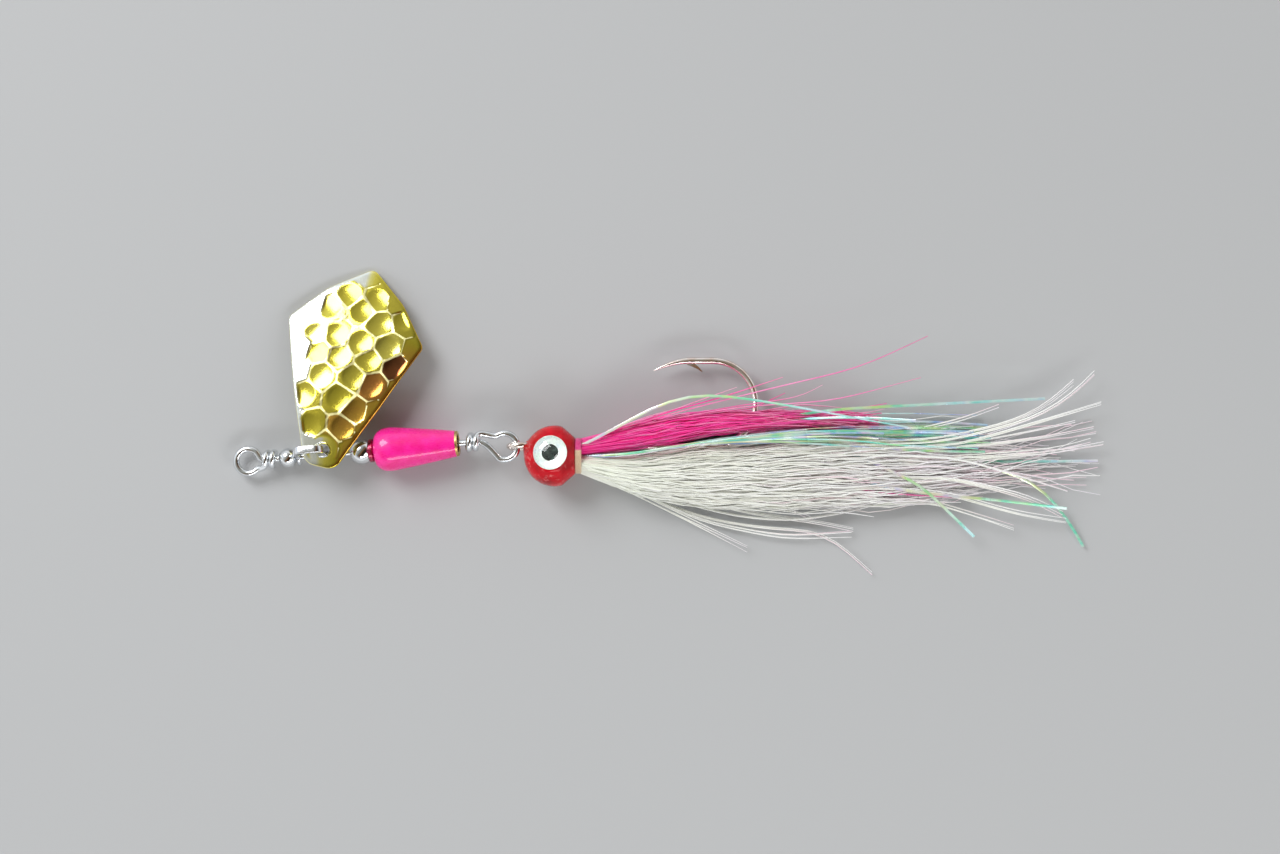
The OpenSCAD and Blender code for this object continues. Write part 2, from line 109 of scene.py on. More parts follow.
def norm(v):
    return np.linalg.norm(v, axis=-1)


def clamp(x):
    return np.clip(x, 0, 1)


def eased(x):
    """A share from 0 to 1, made slow to start and slow to end."""
    return x * x * (3 - 2 * x)


def around(count):
    """Angles spaced evenly round a circle."""
    return np.arange(count) * 2 * np.pi / count


def added(name, data):
    """A new object in the scene."""
    obj = bpy.data.objects.new(name, data)
    bpy.context.scene.collection.objects.link(obj)
    return obj


def make(name, parts, place, body, materials, nodes, faces_slot=None,
         sharp=35, merge=0, attributes=None):
    """A mesh piece from parts, each (vertices, faces) in local millimetres.
    The local position stays on the mesh as the attribute "local"."""
    points = np.concatenate([np.asarray(p[0], float) for p in parts])
    faces, start = [], 0
    for verts, part_faces in parts:
        faces += [tuple(i + start for i in f) for f in part_faces]
        start += len(verts)
    world = points @ place[:3, :3].T + place[:3, 3]
    mesh = bpy.data.meshes.new(name)
    mesh.from_pydata(world.tolist(), [], faces)
    local = mesh.attributes.new("local", "FLOAT_VECTOR", "POINT")
    local.data.foreach_set("vector", points.astype(np.float32).ravel())
    for key, values in (attributes or {}).items():
        layer = mesh.attributes.new(key, "FLOAT", "POINT")
        layer.data.foreach_set("value", np.asarray(values, np.float32))
    if faces_slot is not None:
        mesh.polygons.foreach_set("material_index", np.asarray(faces_slot, np.int32))
    bm = bmesh.new()
    bm.from_mesh(mesh)
    if merge:
        bmesh.ops.remove_doubles(bm, verts=bm.verts, dist=merge * MM)
    bmesh.ops.recalc_face_normals(bm, faces=bm.faces)
    bm.to_mesh(mesh)
    bm.free()
    mesh.shade_smooth()
    mesh.set_sharp_from_angle(angle=math.radians(sharp))
    for m in materials if isinstance(materials, (list, tuple)) else [materials]:
        mesh.materials.append(m)
    obj = added(name, mesh)
    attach(obj, body)
    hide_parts(*nodes)


def ring_faces(rings, sides, closed):
    faces = []
    for i in range(rings if closed else rings - 1):
        a, b = i * sides, (i + 1) % rings * sides
        for k in range(sides):
            n = (k + 1) % sides
            faces.append((a + k, a + n, b + n, b + k))
    return faces


def tube_faces(rings, sides):
    """The wall between the rings of a tube, and its two ends."""
    last = (rings - 1) * sides
    return ring_faces(rings, sides, False) + [
        tuple(range(sides))[::-1], tuple(range(last, last + sides))]


def carried(path, closed):
    """Unit tangents, and normals carried along a path without twist."""
    if closed:
        way = unit(np.roll(path, -1, 0) - np.roll(path, 1, 0))
    else:
        way = unit(np.gradient(path, axis=0))
    n = np.array([0.0, 0.0, 1.0])
    if abs(way[0] @ n) > 0.9:
        n = np.array([0.0, 1.0, 0.0])
    normals = []
    for t in way:
        n = unit(n - (n @ t) * t)
        normals.append(n)
    return way, np.array(normals)


def sweep(path, section, scale=None, closed=False):
    """Tube along a path. The section's points are (along the normal, across
    it), and scale is one number for each point of the path."""
    path = np.asarray(path, float)
    way, normal = carried(path, closed)
    side = np.cross(way, normal)
    scale = np.ones(len(path)) if scale is None else np.asarray(scale, float)
    section = np.asarray(section, float)
    points = (path[:, None]
              + scale[:, None, None] * (normal[:, None] * section[None, :, :1]
                                        + side[:, None] * section[None, :, 1:]))
    rings, sides = len(path), len(section)
    faces = ring_faces(rings, sides, True) if closed else tube_faces(rings, sides)
    return points.reshape(-1, 3), faces


def circle(r, sides=20):
    a = around(sides)
    return np.stack([r * np.cos(a), r * np.sin(a)], 1)


def rounded_ends(path, r):
    """Adds the two short steps that give a cut wire a softened end."""
    first, last = unit(path[0] - path[1]), unit(path[-1] - path[-2])
    steps, shrink = (0.1 * r, 0.17 * r), (0.95, 0.8)
    path = np.concatenate([[path[0] + first * s for s in steps[::-1]], path,
                           [path[-1] + last * s for s in steps]])
    scale = np.concatenate([shrink[::-1], np.ones(len(path) - 4), shrink])
    return path, scale


def lathe(profile, sides=72, closed=True):
    """Turns a profile of (x, radius) points round the x axis."""
    profile = np.asarray(profile, float)
    a = around(sides)
    ring = np.stack([np.zeros(sides), np.cos(a), np.sin(a)], 1)
    points = profile[:, 0, None, None] * np.array([1, 0, 0]) + profile[:, 1, None, None] * ring
    return points.reshape(-1, 3), ring_faces(len(profile), sides, closed)


def rounded(corners, steps=5, closed=True):
    """Outline through (x, y, radius) corners, each rounded by its radius."""
    out, n = [], len(corners)
    for i, (x, y, r) in enumerate(corners):
        p = np.array([x, y], float)
        if r <= 0 or (not closed and i in (0, n - 1)):
            out.append(p)
            continue
        a, b = (np.array(corners[(i + d) % n][:2], float) for d in (-1, 1))
        u0, u1 = unit(a - p), unit(b - p)
        half = math.acos(max(-1, min(1, u0 @ u1))) / 2
        if half > 1.569:
            out.append(p)
            continue
        centre = p + unit(u0 + u1) * r / math.sin(half)
        start = p + u0 * r / math.tan(half) - centre
        to_p = p - centre
        turn = math.copysign(math.pi - 2 * half, start[0] * to_p[1] - start[1] * to_p[0])
        for k in range(steps + 1):
            c, s = math.cos(turn * k / steps), math.sin(turn * k / steps)
            out.append(centre + [start[0] * c - start[1] * s, start[0] * s + start[1] * c])
    return np.array(out)


def bezier(a, b, c, d, count):
    t = (np.arange(count) / count)[:, None]
    return a * (1 - t)**3 + 3 * b * t * (1 - t)**2 + 3 * c * t * t * (1 - t) + d * t**3


# ---------- materials

class Nodes:
    """Short calls that add the nodes of one tree."""

    def __init__(self, tree):
        self.tree = tree

    def put(self, node, key, value):
        socket = node.inputs[key]
        if isinstance(value, bpy.types.NodeSocket):
            self.tree.links.new(value, socket)
        elif isinstance(value, tuple) and len(value) == 3 and socket.type == "RGBA":
            socket.default_value = (*value, 1)
        else:
            socket.default_value = value

    def node(self, kind, inputs, **props):
        n = self.tree.nodes.new("ShaderNode" + kind)
        for key, value in props.items():
            setattr(n, key, value)
        for key, value in inputs.items():
            self.put(n, key, value)
        return n

    def ramp(self, factor, stops):
        n = self.node("ValToRGB", {"Fac": factor})
        while len(n.color_ramp.elements) < len(stops):
            n.color_ramp.elements.new(0.5)
        for element, (at, colour) in zip(n.color_ramp.elements, stops):
            element.position, element.color = at, (*colour, 1)
        return n.outputs["Color"]

    def blend(self, factor, a, b):
        return self.node("Mix", {0: factor, 6: a, 7: b}, data_type="RGBA").outputs[2]

    def sum(self, a, b, kind="ADD"):
        return self.node("Math", {0: a, 1: b}, operation=kind).outputs[0]

    def times(self, a, b):
        return self.sum(a, b, "MULTIPLY")

    def band(self, value, low, high, to_low=0.0, to_high=1.0):
        return self.node("MapRange", {"Value": value, "From Min": low, "From Max": high,
                                      "To Min": to_low, "To Max": to_high}).outputs[0]


class Shader(Nodes):
    """A Principled material, whose textures lie on the attribute "local"."""

    def __init__(self, name, **values):
        self.material = bpy.data.materials.new(name)
        self.material.use_nodes = True
        super().__init__(self.material.node_tree)
        self.shader = self.tree.nodes["Principled BSDF"]
        self.set(**values)

    def set(self, **values):
        for key, value in values.items():
            self.put(self.shader, key.replace("_", " ").title().replace("Ior", "IOR"), value)

    def attribute(self, name="local"):
        n = self.node("Attribute", {}, attribute_name=name)
        return n.outputs["Vector" if name == "local" else "Fac"]

    def part(self, axis):
        return self.node("SeparateXYZ", {"Vector": self.attribute()}).outputs[axis]

    def stretched(self, scale):
        return self.node("Mapping", {"Vector": self.attribute(), "Scale": scale}).outputs[0]

    def noise(self, scale, detail=2.0, vector=None, roughness=0.5, distortion=0.0):
        return self.node("TexNoise", {
            "Vector": vector or self.attribute(), "Scale": scale, "Detail": detail,
            "Roughness": roughness, "Distortion": distortion}).outputs["Fac"]

    def cells(self, scale):
        return self.node("TexVoronoi", {"Vector": self.attribute(), "Scale": scale}
                         ).outputs["Distance"]

    def bump(self, height, distance):
        n = self.node("Bump", {"Height": height, "Distance": distance * MM})
        self.put(self.shader, "Normal", n.outputs[0])
        return self


def metal(name, dark, light, rough_low, rough_high, grain, grain_scale, bump):
    """Polished or drawn metal: blotches of tone, and a fine grain that also
    breaks up its gloss."""
    s = Shader(name, metallic=1.0)
    grain_map = s.noise(grain_scale, 4, s.stretched(grain))
    blotch = s.noise(0.9, 3)
    s.set(base_color=s.ramp(s.sum(s.times(blotch, 0.65), s.times(grain_map, 0.35)),
                            [(0.3, dark), (0.65, light)]),
          roughness=s.band(grain_map, 0.3, 0.7, rough_low, rough_high))
    return s.bump(grain_map, bump).material


wire_metal = metal("wire_steel", (0.66, 0.69, 0.72), (0.86, 0.88, 0.9), 0.12, 0.24,
                   (0.5, 3, 3), 4.0, 0.004)
bead_metal = metal("bead_chrome", (0.66, 0.69, 0.72), (0.88, 0.89, 0.9), 0.03, 0.1,
                   (1, 1, 1), 2.5, 0.002)
clevis_metal = metal("clevis_plate", (0.62, 0.65, 0.68), (0.86, 0.87, 0.89), 0.1, 0.22,
                     (1, 1, 1), 3.0, 0.005)
# the hook's warm coppery dark tone is a painted reflection of the red and pink parts round it, on
# nickel
hook_metal = metal("hook_nickel", (0.8, 0.6, 0.5), (0.95, 0.94, 0.92), 0.1, 0.24,
                   (0.4, 4, 4), 4.0, 0.008)
brass_metal = metal("body_brass", (0.42, 0.24, 0.06), (0.8, 0.58, 0.24), 0.22, 0.42,
                    (1, 1, 1), 4.0, 0.01)


def clouded(name, scale, detail, stops, rough, bump, **values):
    """A surface whose colour, gloss and relief all follow one noise."""
    s = Shader(name, **values)
    cloud = s.noise(scale, detail)
    s.set(base_color=s.ramp(cloud, stops), roughness=s.band(cloud, 0.3, 0.7, *rough))
    return s.bump(cloud, bump).material


# the collar's darker red than the body is painted shade, for a ring that faces away and sits by the
# groove at the nose
collar_shaded_red = clouded("collar_shaded_lacquer", 2.5, 4, [
    (0.35, (0.2, 0.004, 0.02)), (0.6, (0.55, 0.01, 0.09)), (0.75, (0.72, 0.3, 0.3))],
    (0.15, 0.4), 0.01, metallic=0.6, coat_weight=0.8, coat_roughness=0.1)
# the hollow's inside is painted near-black red: painted shade in the recess
inside_painted_shade = clouded("body_inside_painted_shade", 1.8, 4, [
    (0.35, (0.05, 0.004, 0.012)), (0.7, (0.28, 0.05, 0.05))], (0.3, 0.6), 0.02, metallic=0.7)
pupil_black = clouded("pupil_gloss", 1.6, 3, [
    (0.35, (0.003, 0.006, 0.005)), (0.6, (0.012, 0.022, 0.019)), (0.8, (0.05, 0.08, 0.07))],
    (0.1, 0.3), 0.01, specular_ior_level=0.2)


def blade_gold():
    s = Shader("blade_gold", metallic=1.0)
    tone, fine = s.noise(0.35, 3, distortion=0.6), s.noise(5.0, 4)
    cell = s.attribute("cell")
    # the ramp from near black through brown and olive gold to near white is painted reflection, set
    # per mark by the cell attribute
    colour = s.ramp(s.sum(s.times(tone, 0.12), s.times(cell, 0.88)), [
        (0.06, (0.05, 0.035, 0.015)), (0.18, (0.45, 0.14, 0.05)), (0.32, (0.66, 0.4, 0.06)),
        (0.46, (0.62, 0.52, 0.05)), (0.7, (0.86, 0.75, 0.12)), (0.82, (0.92, 0.85, 0.3)),
        (0.92, (0.9, 0.92, 0.84))])
    ridge = s.band(s.attribute("ridge"), 0.4, 0.8)
    # the ridges' pale yellow is a painted highlight along the ridges between the marks
    s.set(base_color=s.blend(ridge, colour, (1.0, 0.95, 0.5)),
          roughness=s.sum(s.band(fine, 0.3, 0.7, 0.07, 0.18), s.times(ridge, 0.3)))
    return s.bump(fine, 0.006).material


def body_paint():
    s = Shader("body_paint", roughness=0.32, coat_weight=0.7, coat_roughness=0.05,
               specular_ior_level=0.3)
    cloud, grain = s.noise(0.8, 3), s.noise(14.0, 2)
    colour = s.ramp(cloud, [(0.3, (0.9, 0.006, 0.24)), (0.7, (1.0, 0.02, 0.36))])
    scuffs = s.noise(2.2, 5, s.stretched((0.8, 2.6, 2.6)), 0.6)
    colour = s.blend(s.band(scuffs, 0.69, 0.74), colour, (0.3, 0.004, 0.07))
    s.set(base_color=colour, roughness=s.band(scuffs, 0.4, 0.75, 0.24, 0.5))
    return s.bump(s.sum(grain, s.times(scuffs, 2.0)), 0.012).material


def head_paint():
    s = Shader("head_paint", coat_weight=0.22, coat_roughness=0.03, specular_ior_level=0.15)
    cloud, fine = s.noise(0.55, 3, distortion=0.4), s.noise(1.5, 6, roughness=0.62)
    colour = s.ramp(cloud, [(0.32, (0.34, 0.001, 0.006)), (0.5, (0.52, 0.0, 0.008)),
                            (0.7, (0.64, 0.001, 0.012))])
    # browner colour on the upper front, and pale patches round the front and belly: painted glare
    # highlight with some real rubbing of the epoxy
    front = s.band(s.part("X"), -1.2, -3.4)
    upper = s.band(s.part("Y"), 0.4, 2.6)
    colour = s.blend(s.times(s.times(front, upper), 0.75),
                     colour, (0.3, 0.05, 0.03))
    lower = s.band(s.part("Y"), -0.6, -3.2)
    where = s.sum(front, lower, "MAXIMUM")
    # the pale colour here is a painted glare highlight over partly rubbed paint
    glare_and_rub = s.times(s.band(fine, 0.56, 0.7), where)
    colour = s.blend(s.times(glare_and_rub, 0.6), colour, (0.78, 0.26, 0.25))
    s.set(base_color=colour, roughness=s.band(fine, 0.45, 0.75, 0.1, 0.3))
    return s.bump(s.sum(fine, cloud), 0.03).material


def eye_pearl():
    s = Shader("eye_pearl", metallic=0.25, coat_weight=0.6, coat_roughness=0.08)
    flake = s.cells(2.6)
    sheen = s.noise(1.3, 3, distortion=0.8)
    s.set(base_color=s.blend(s.band(flake, 0.15, 0.75, 0.0, 0.55),
                             s.ramp(sheen, [(0.3, (0.5, 0.66, 0.56)), (0.5, (0.64, 0.66, 0.63)),
                                            (0.66, (0.52, 0.6, 0.65)), (0.8, (0.66, 0.55, 0.62))]),
                             (0.34, 0.4, 0.39)),
          roughness=s.band(flake, 0, 0.6, 0.18, 0.36))
    return s.bump(flake, 0.03).material


def dome_resin():
    """Clear resin. Lamps reach the eye below it through a Light Path mix."""
    s = Shader("eye_resin", base_color=(0.98, 1.0, 0.99), transmission_weight=1.0,
               ior=1.45, roughness=0.02)
    s.bump(s.noise(1.1, 2), 0.015)
    clear = s.node("BsdfTransparent", {"Color": (1.0, 1.0, 1.0)})
    path = s.node("LightPath", {})
    mix = s.node("MixShader", {0: path.outputs["Is Shadow Ray"], 1: s.shader.outputs[0],
                               2: clear.outputs[0]})
    s.put(s.tree.nodes["Material Output"], "Surface", mix.outputs[0])
    return s.material


def thread_wound():
    s = Shader("thread_wound", coat_weight=0.5, coat_roughness=0.25, sheen_weight=0.2)
    fibre = s.noise(9.0, 3, s.stretched((3, 0.5, 0.5)))
    edge = s.sum(s.part("Y"), s.times(s.noise(2.0, 2), 0.35))
    pink = s.ramp(fibre, [(0.3, (0.62, 0.02, 0.2)), (0.7, (0.9, 0.09, 0.36))])
    beige = s.ramp(fibre, [(0.3, (0.6, 0.42, 0.26)), (0.7, (0.86, 0.7, 0.5))])
    s.set(base_color=s.blend(s.band(edge, 0.52, 0.72), beige, pink),
          roughness=s.band(fibre, 0.3, 0.7, 0.35, 0.55))
    return s.bump(fibre, 0.03).material


def hair(name, root, stops, tips, gloss):
    """Hair: each strand has its own tone, darker towards the root, with the
    tip colours coming in along it."""
    s = Shader(name, roughness=gloss, sheen_weight=0.25, sheen_roughness=0.4,
               coat_weight=0.15, coat_roughness=0.3)
    tone, along = s.attribute("tone"), s.attribute("along")
    streak = s.noise(1.1, 3, s.stretched((0.18, 2.2, 2.2)))
    value = s.sum(s.times(tone, 0.62), s.times(streak, 0.38))
    colour = s.ramp(value, stops)
    colour = s.blend(s.band(along, 0.0, 0.3, 0.55, 0.0), colour, root)
    tip = s.ramp(s.attribute("tint"), tips)
    colour = s.blend(s.band(along, 0.55, 1.0, 0.0, 0.75), colour, tip)
    s.set(base_color=colour, roughness=s.band(streak, 0.3, 0.7, gloss - 0.08, gloss + 0.12))
    return s.bump(streak, 0.01).material


def tinsel_film():
    s = Shader("tinsel_film", metallic=0.3, coat_weight=0.6, coat_roughness=0.12)
    along, tone = s.attribute("along"), s.attribute("tone")
    shift = s.noise(0.22, 3, s.stretched((1, 0.4, 0.4)), distortion=0.5)
    phase = s.sum(s.sum(s.times(along, 0.9), tone),
                  s.times(shift, 1.3))
    film = s.ramp(s.sum(phase, 1.0, "FRACT"), [
        (0.0, (0.12, 0.75, 0.42)), (0.16, (0.08, 0.72, 0.66)), (0.3, (0.5, 0.86, 0.9)),
        (0.45, (0.2, 0.42, 0.86)), (0.58, (0.7, 0.5, 0.86)), (0.7, (0.86, 0.8, 0.5)),
        (0.84, (0.5, 0.86, 0.26)), (1.0, (0.12, 0.75, 0.42))])
    # pale whitish-green patches along the strips: painted glints on the film
    pale = s.band(s.noise(0.9, 2, s.stretched((0.5, 1, 1))), 0.4, 0.66, 0.15, 0.75)
    s.set(base_color=s.blend(pale, film, (0.84, 0.94, 0.88)),
          roughness=s.band(shift, 0.3, 0.7, 0.12, 0.32))
    return s.bump(shift, 0.02).material


# ---------- wire shaft

def loop_path(r, shape, turns):
    """Centre line of a wire loop, as part.scad draws it: off the shaft, round
    the loop, over the shaft and back along it in a wrap. shape holds the lift
    off the shaft, half the gap in degrees, where the bend and the wrap start,
    the wrap's first angle in degrees, and the lengths of the curves' handles;
    its lengths are in wire diameters."""
    lift, opened, bend_at, wrap_at, phi, handles = shape
    opened, phi = math.radians(opened), math.radians(phi)
    lift, bend_at, wrap_at = (WIRE_D * x for x in (lift, bend_at, wrap_at))
    h = [WIRE_D * x for x in handles]
    start = np.array([-r - bend_at, lift, 0])
    wrap = np.array([-r - wrap_at, lift, 0])
    c, s = math.cos(opened), math.sin(opened)
    down, down_way = np.array([-r * c, -r * s, 0]), np.array([s, -c, 0])
    up, up_way = np.array([-r * c, r * s, 0]), np.array([-s, -c, 0])
    first = wrap + WRAP_PITCH * np.array([0, math.cos(phi), math.sin(phi)])
    first_way = unit([-1 / (2 * math.pi), -math.sin(phi), math.cos(phi)])
    a = math.pi + opened + (2 * math.pi - 2 * opened) * np.arange(72) / 72
    t = np.arange(int(48 * turns) + 1) / int(48 * turns)
    f = phi + 2 * math.pi * turns * t
    return np.concatenate([
        bezier(start, start + [h[0], 0, 0], down - h[1] * down_way, down, 24),
        np.stack([r * np.cos(a), r * np.sin(a), 0 * a], 1),
        bezier(up, up + h[2] * up_way, first - h[3] * first_way, first, 28),
        wrap + WRAP_PITCH * np.stack([-turns * t, np.cos(f), np.sin(f)], 1)])


def wire_shaft():
    tie = loop_path(TIE_R, (0, 51.9, 0.825, 0.9, 61.8, (0.99, 0.7, 0.575, 1.21)), 1.4)
    rear = loop_path(REAR_R, (1.075, 64.75, 2.04, 2.14, 56.9, (1.39, 0.41, 0.96, 1.71)), 1.5)
    tie = (tie * [-1, -1, 1])[::-1]
    rear = rear + [REAR_U, -REAR_DROP, 0]
    straight = np.linspace(tie[-1], rear[0], 60)[1:-1]
    path, scale = rounded_ends(np.concatenate([tie, straight, rear]), WIRE_D / 2)
    make("wire_shaft_bent", [sweep(path, circle(WIRE_D / 2, 24), scale)], SHAFT, "shaft",
         wire_metal, ["wire_shaft"], sharp=50)


# ---------- beads, clevis

def bead(name, d, u, body, node):
    r = d / 2
    a0 = math.asin(BORE_R / r)
    arc = [(-r * math.cos(a), r * math.sin(a), 0) for a in np.linspace(a0, math.pi - a0, 44)]
    end = r * math.cos(a0)
    bore = [(end - 0.08, BORE_R, 0), (-end + 0.08, BORE_R, 0)]
    arc[0], arc[-1] = (-end + 0.02, BORE_R + 0.03, 0), (end - 0.02, BORE_R + 0.03, 0)
    profile = rounded(arc + bore) + [u, 0]
    make(name, [lathe(profile)], SHAFT, body, bead_metal, [node])


def clevis():
    t, w, round_r = STRIP_T, STRIP_W, 0.14
    section = rounded([(-t / 2, -w / 2, round_r), (t / 2, -w / 2, round_r),
                       (t / 2, w / 2, round_r), (-t / 2, w / 2, round_r)], 4)
    bow_r = 1.1 - t / 2
    left, right, top = t / 2, CLEVIS_L - t / 2, CLEVIS_H - t / 2
    legs = np.linspace(0.52, top - bow_r, 14)
    a = np.linspace(0, math.pi / 2, 12)
    path = np.concatenate([
        [(left, 0, z) for z in legs],
        [(left + bow_r - bow_r * math.cos(x), 0, top - bow_r + bow_r * math.sin(x)) for x in a],
        [(right - bow_r + bow_r * math.sin(x), 0, top - bow_r + bow_r * math.cos(x)) for x in a],
        [(right, 0, z) for z in legs[::-1]]])
    keep = np.r_[True, norm(np.diff(path, axis=0)) > 1e-6]
    parts = [sweep(path[keep] + [CLEVIS_U, 0, 0], section[:, ::-1])]
    for x in (0, CLEVIS_L - t):
        ear = rounded([(x, BORE_R, 0.05), (x, EAR_R, 0.12), (x + t, EAR_R, 0.12),
                       (x + t, BORE_R, 0.05)], 4)
        parts.append(lathe(ear + [CLEVIS_U, 0], 48))
    make("clevis_strip", parts, CLEVIS, "clevis", clevis_metal, ["clevis"], sharp=50)


# ---------- blade

def even(outline, step):
    """The same closed outline with its points a step apart."""
    loop = np.vstack([outline, outline[:1]])
    run = np.r_[0, np.cumsum(norm(np.diff(loop, axis=0)))]
    at = np.linspace(0, run[-1], int(run[-1] / step), endpoint=False)
    return np.stack([np.interp(at, run, loop[:, k]) for k in (0, 1)], 1)


def inset(outline, by):
    way = unit(np.roll(outline, -1, 0) - np.roll(outline, 1, 0))
    return outline + by * np.stack([-way[:, 1], way[:, 0]], 1)


def inside(points, outline):
    x, y = points[:, 0, None], points[:, 1, None]
    ax, ay = outline[:, 0], outline[:, 1]
    bx, by = np.roll(ax, -1), np.roll(ay, -1)
    crosses = ((ay > y) != (by > y)) & (
        x < (bx - ax) * (y - ay) / np.where(by == ay, 1e-9, by - ay) + ax)
    return crosses.sum(1) % 2 == 1


def blade():
    # corners of one half of the kite, as x, y and the corner's radius
    half = [(-2, 2, 1.9), (6.6, 5.61, 20), (15.35, 8.85, 1), (20.075, 4.95, 6)]
    corners = [(x, -y, r) for x, y, r in half] + [(23.85, 0, 1.1)] + \
        [(x, y, r) for x, y, r in half[::-1]]
    outline = even(rounded(corners, 14), 0.2)
    rim_in, hole_in = 0.16, 0.1      # how much the edges' rounding takes
    rim = inset(outline, rim_in)
    rng = np.random.default_rng(7)

    def edge_gap(p):
        return norm(p[:, None] - outline[None]).min(1)

    # hammer marks: bowls on a loose honeycomb; those near the left and
    # upper-left edges are left out, which leaves a plain border there
    pitch, jitter, border = 3.25, 0.8, 1.5
    seeds = np.array([[i * pitch * 0.87, (j + 0.5 * (i % 2)) * pitch]
                      for i in range(-2, 30) for j in range(-6, 7)])
    seeds = seeds + rng.uniform(-jitter, jitter, seeds.shape) + [0.6, 0.2]
    within, edge_of = inside(seeds, outline), edge_gap(seeds)
    used = within | (edge_of < 3)
    field, within, edge_of = seeds[used], within[used], edge_of[used]
    left_out = border * clamp((field[:, 1] - 1) / 3) * np.clip((field[:, 0] - 2) / 8, 0.25, 1)
    struck = within & (edge_of > 0.15 + left_out)

    spacing = 0.19       # of the mesh's own points
    grid = np.array([[x + (spacing / 2 if k % 2 else 0), y]
                     for k, y in enumerate(np.arange(-9, 9, spacing * 0.87))
                     for x in np.arange(-2.2, 24, spacing)])
    grid = grid[inside(grid, inset(outline, 0.3))]
    unit_hole = circle(1, 40)
    grid = grid[norm(grid) > BLADE_HOLE_R + 0.28]
    hole = unit_hole * (BLADE_HOLE_R + hole_in)
    flat = np.concatenate([rim, hole, grid])
    n, m = len(rim), len(hole)
    edges = [(i, (i + 1) % n) for i in range(n)] + \
        [(n + i, n + (i + 1) % m) for i in range(m)]
    out = delaunay_2d_cdt([Vector(p) for p in flat], edges, [], 0, 1e-6)
    points = np.array([tuple(v) for v in out[0]])
    faces = [tuple(f) for f in out[2]]
    centres = np.array([points[list(f)].mean(0) for f in faces])
    keep = inside(centres, rim)
    faces = [f for f, k in zip(faces, keep) if k and not all(n <= i < n + m for i in f)]

    # the nearest mark and the next one, for each point
    gaps = norm(points[:, None] - field[None])
    order = np.argsort(gaps, axis=1)[:, :2]
    near, second = np.take_along_axis(gaps, order, 1).T
    which = order[:, 0]
    tilt = rng.uniform(-0.05, 0.05, (len(field), 2))
    lean = ((points - field[which]) * tilt[which]).sum(1)
    # marks fade out before the edge and before the hole's flat
    gap = edge_gap(points)
    hammered = eased(struck[which] * clamp((gap - 0.35) / 0.45) * clamp((norm(points) - 1.5) / 0.6))
    bowl_depth, bowl_curve, highest = 0.15, 0.062, 0.02
    bowl = np.minimum(bowl_curve * near**2 - bowl_depth, 0.01)
    cusp = clamp((second - near) / 0.22)
    dent = np.minimum(hammered * (bowl - 0.012 * (1 - cusp)**2 + lean), highest)
    roll = -0.07 * clamp(1 - gap / 0.5)**2

    mid = BLADE_REACH / 2

    def dish(p):
        return np.sqrt(BLADE_DISH_R**2 - (p[:, 0] - mid)**2 - p[:, 1]**2) \
            - math.sqrt(BLADE_DISH_R**2 - mid**2)

    top = np.column_stack([points, dish(points) + BLADE_T / 2 + dent + roll])
    under = np.column_stack([points, dish(points) - BLADE_T / 2 + 0.6 * dent - roll])
    count = len(points)
    all_points, all_faces = [top, under], list(faces) + [
        tuple(i + count for i in f[::-1]) for f in faces]
    # each mark's tone, partly random; painted dark reflection makes it brown and then
    # dark towards the lower right edge, and painted bright reflection makes it pale along the plain
    # border on the left
    edge_away = 0.938 * (field[:, 1] + 3.17 + 0.37 * field[:, 0])
    low = clamp((16 - field[:, 0]) / 2)
    dark_reflection = low * clamp((3.9 - edge_away) / 2.4)
    bright, dark = (rng.uniform(*limits, len(field)) for limits in ((0.42, 0.82), (0.0, 0.28)))
    tone = bright * (1 - dark_reflection) + dark * dark_reflection
    # the plain border's pale tone is painted bright reflection
    plain = np.clip(0.3 + 0.75 * (points[:, 1] + 2.5) / 3.5,
                    0.3 + 0.3 * clamp((points[:, 0] - 14) / 3), 1.0)
    cell = tone[which] * hammered + plain * (1 - hammered)
    ridge = hammered * clamp(1 - (second - near) / 0.6)
    cells, ridges = [cell, cell], [ridge, ridge]
    start = 2 * count
    # the rim and the hole's wall, each rounded between the two faces
    for loop, ring, grow in ((range(n), rim, outline - rim),
                             (range(n, n + m), hole, -hole_in * unit_hole)):
        size, flat_z = len(ring), dish(ring)
        lanes = []
        for s, z in ((0.5, 0.8), (0.66, 0.35), (0.66, -0.35), (0.5, -0.8)):
            level = flat_z + z * (BLADE_T / 2 - 0.03)
            all_points.append(np.column_stack([ring + grow * s, level]))
            lanes.append(list(range(start, start + size)))
            start += size
            # the rim and the hole's wall turn paler and take more of the ridges' pale colour
            # towards the upper side: painted bright reflection and highlight
            cells.append(np.clip(0.3 + 0.4 * (ring[:, 1] + 3) / 3, 0.24, 0.85))
            ridges.append(np.clip((ring[:, 1] + 3) / 3, 0, 0.8))
        lanes = [list(loop)] + lanes + [[i + count for i in loop]]
        for a, b in zip(lanes, lanes[1:]):
            all_faces += [(a[i], a[(i + 1) % size], b[(i + 1) % size], b[i])
                          for i in range(size)]
    points3 = np.concatenate(all_points)
    c, s = math.cos(BLADE_ANGLE), math.sin(BLADE_ANGLE)
    turned = np.column_stack([points3[:, 0] * c - points3[:, 1] * s + BLADE_U,
                              points3[:, 0] * s + points3[:, 1] * c,
                              points3[:, 2] + BLADE_RIDE])
    make("blade_hammered", [(turned, all_faces)], CLEVIS, "blade", blade_gold(),
         ["blade"], sharp=60, attributes={"cell": np.concatenate(cells),
                                          "ridge": np.concatenate(ridges)})


# ---------- body

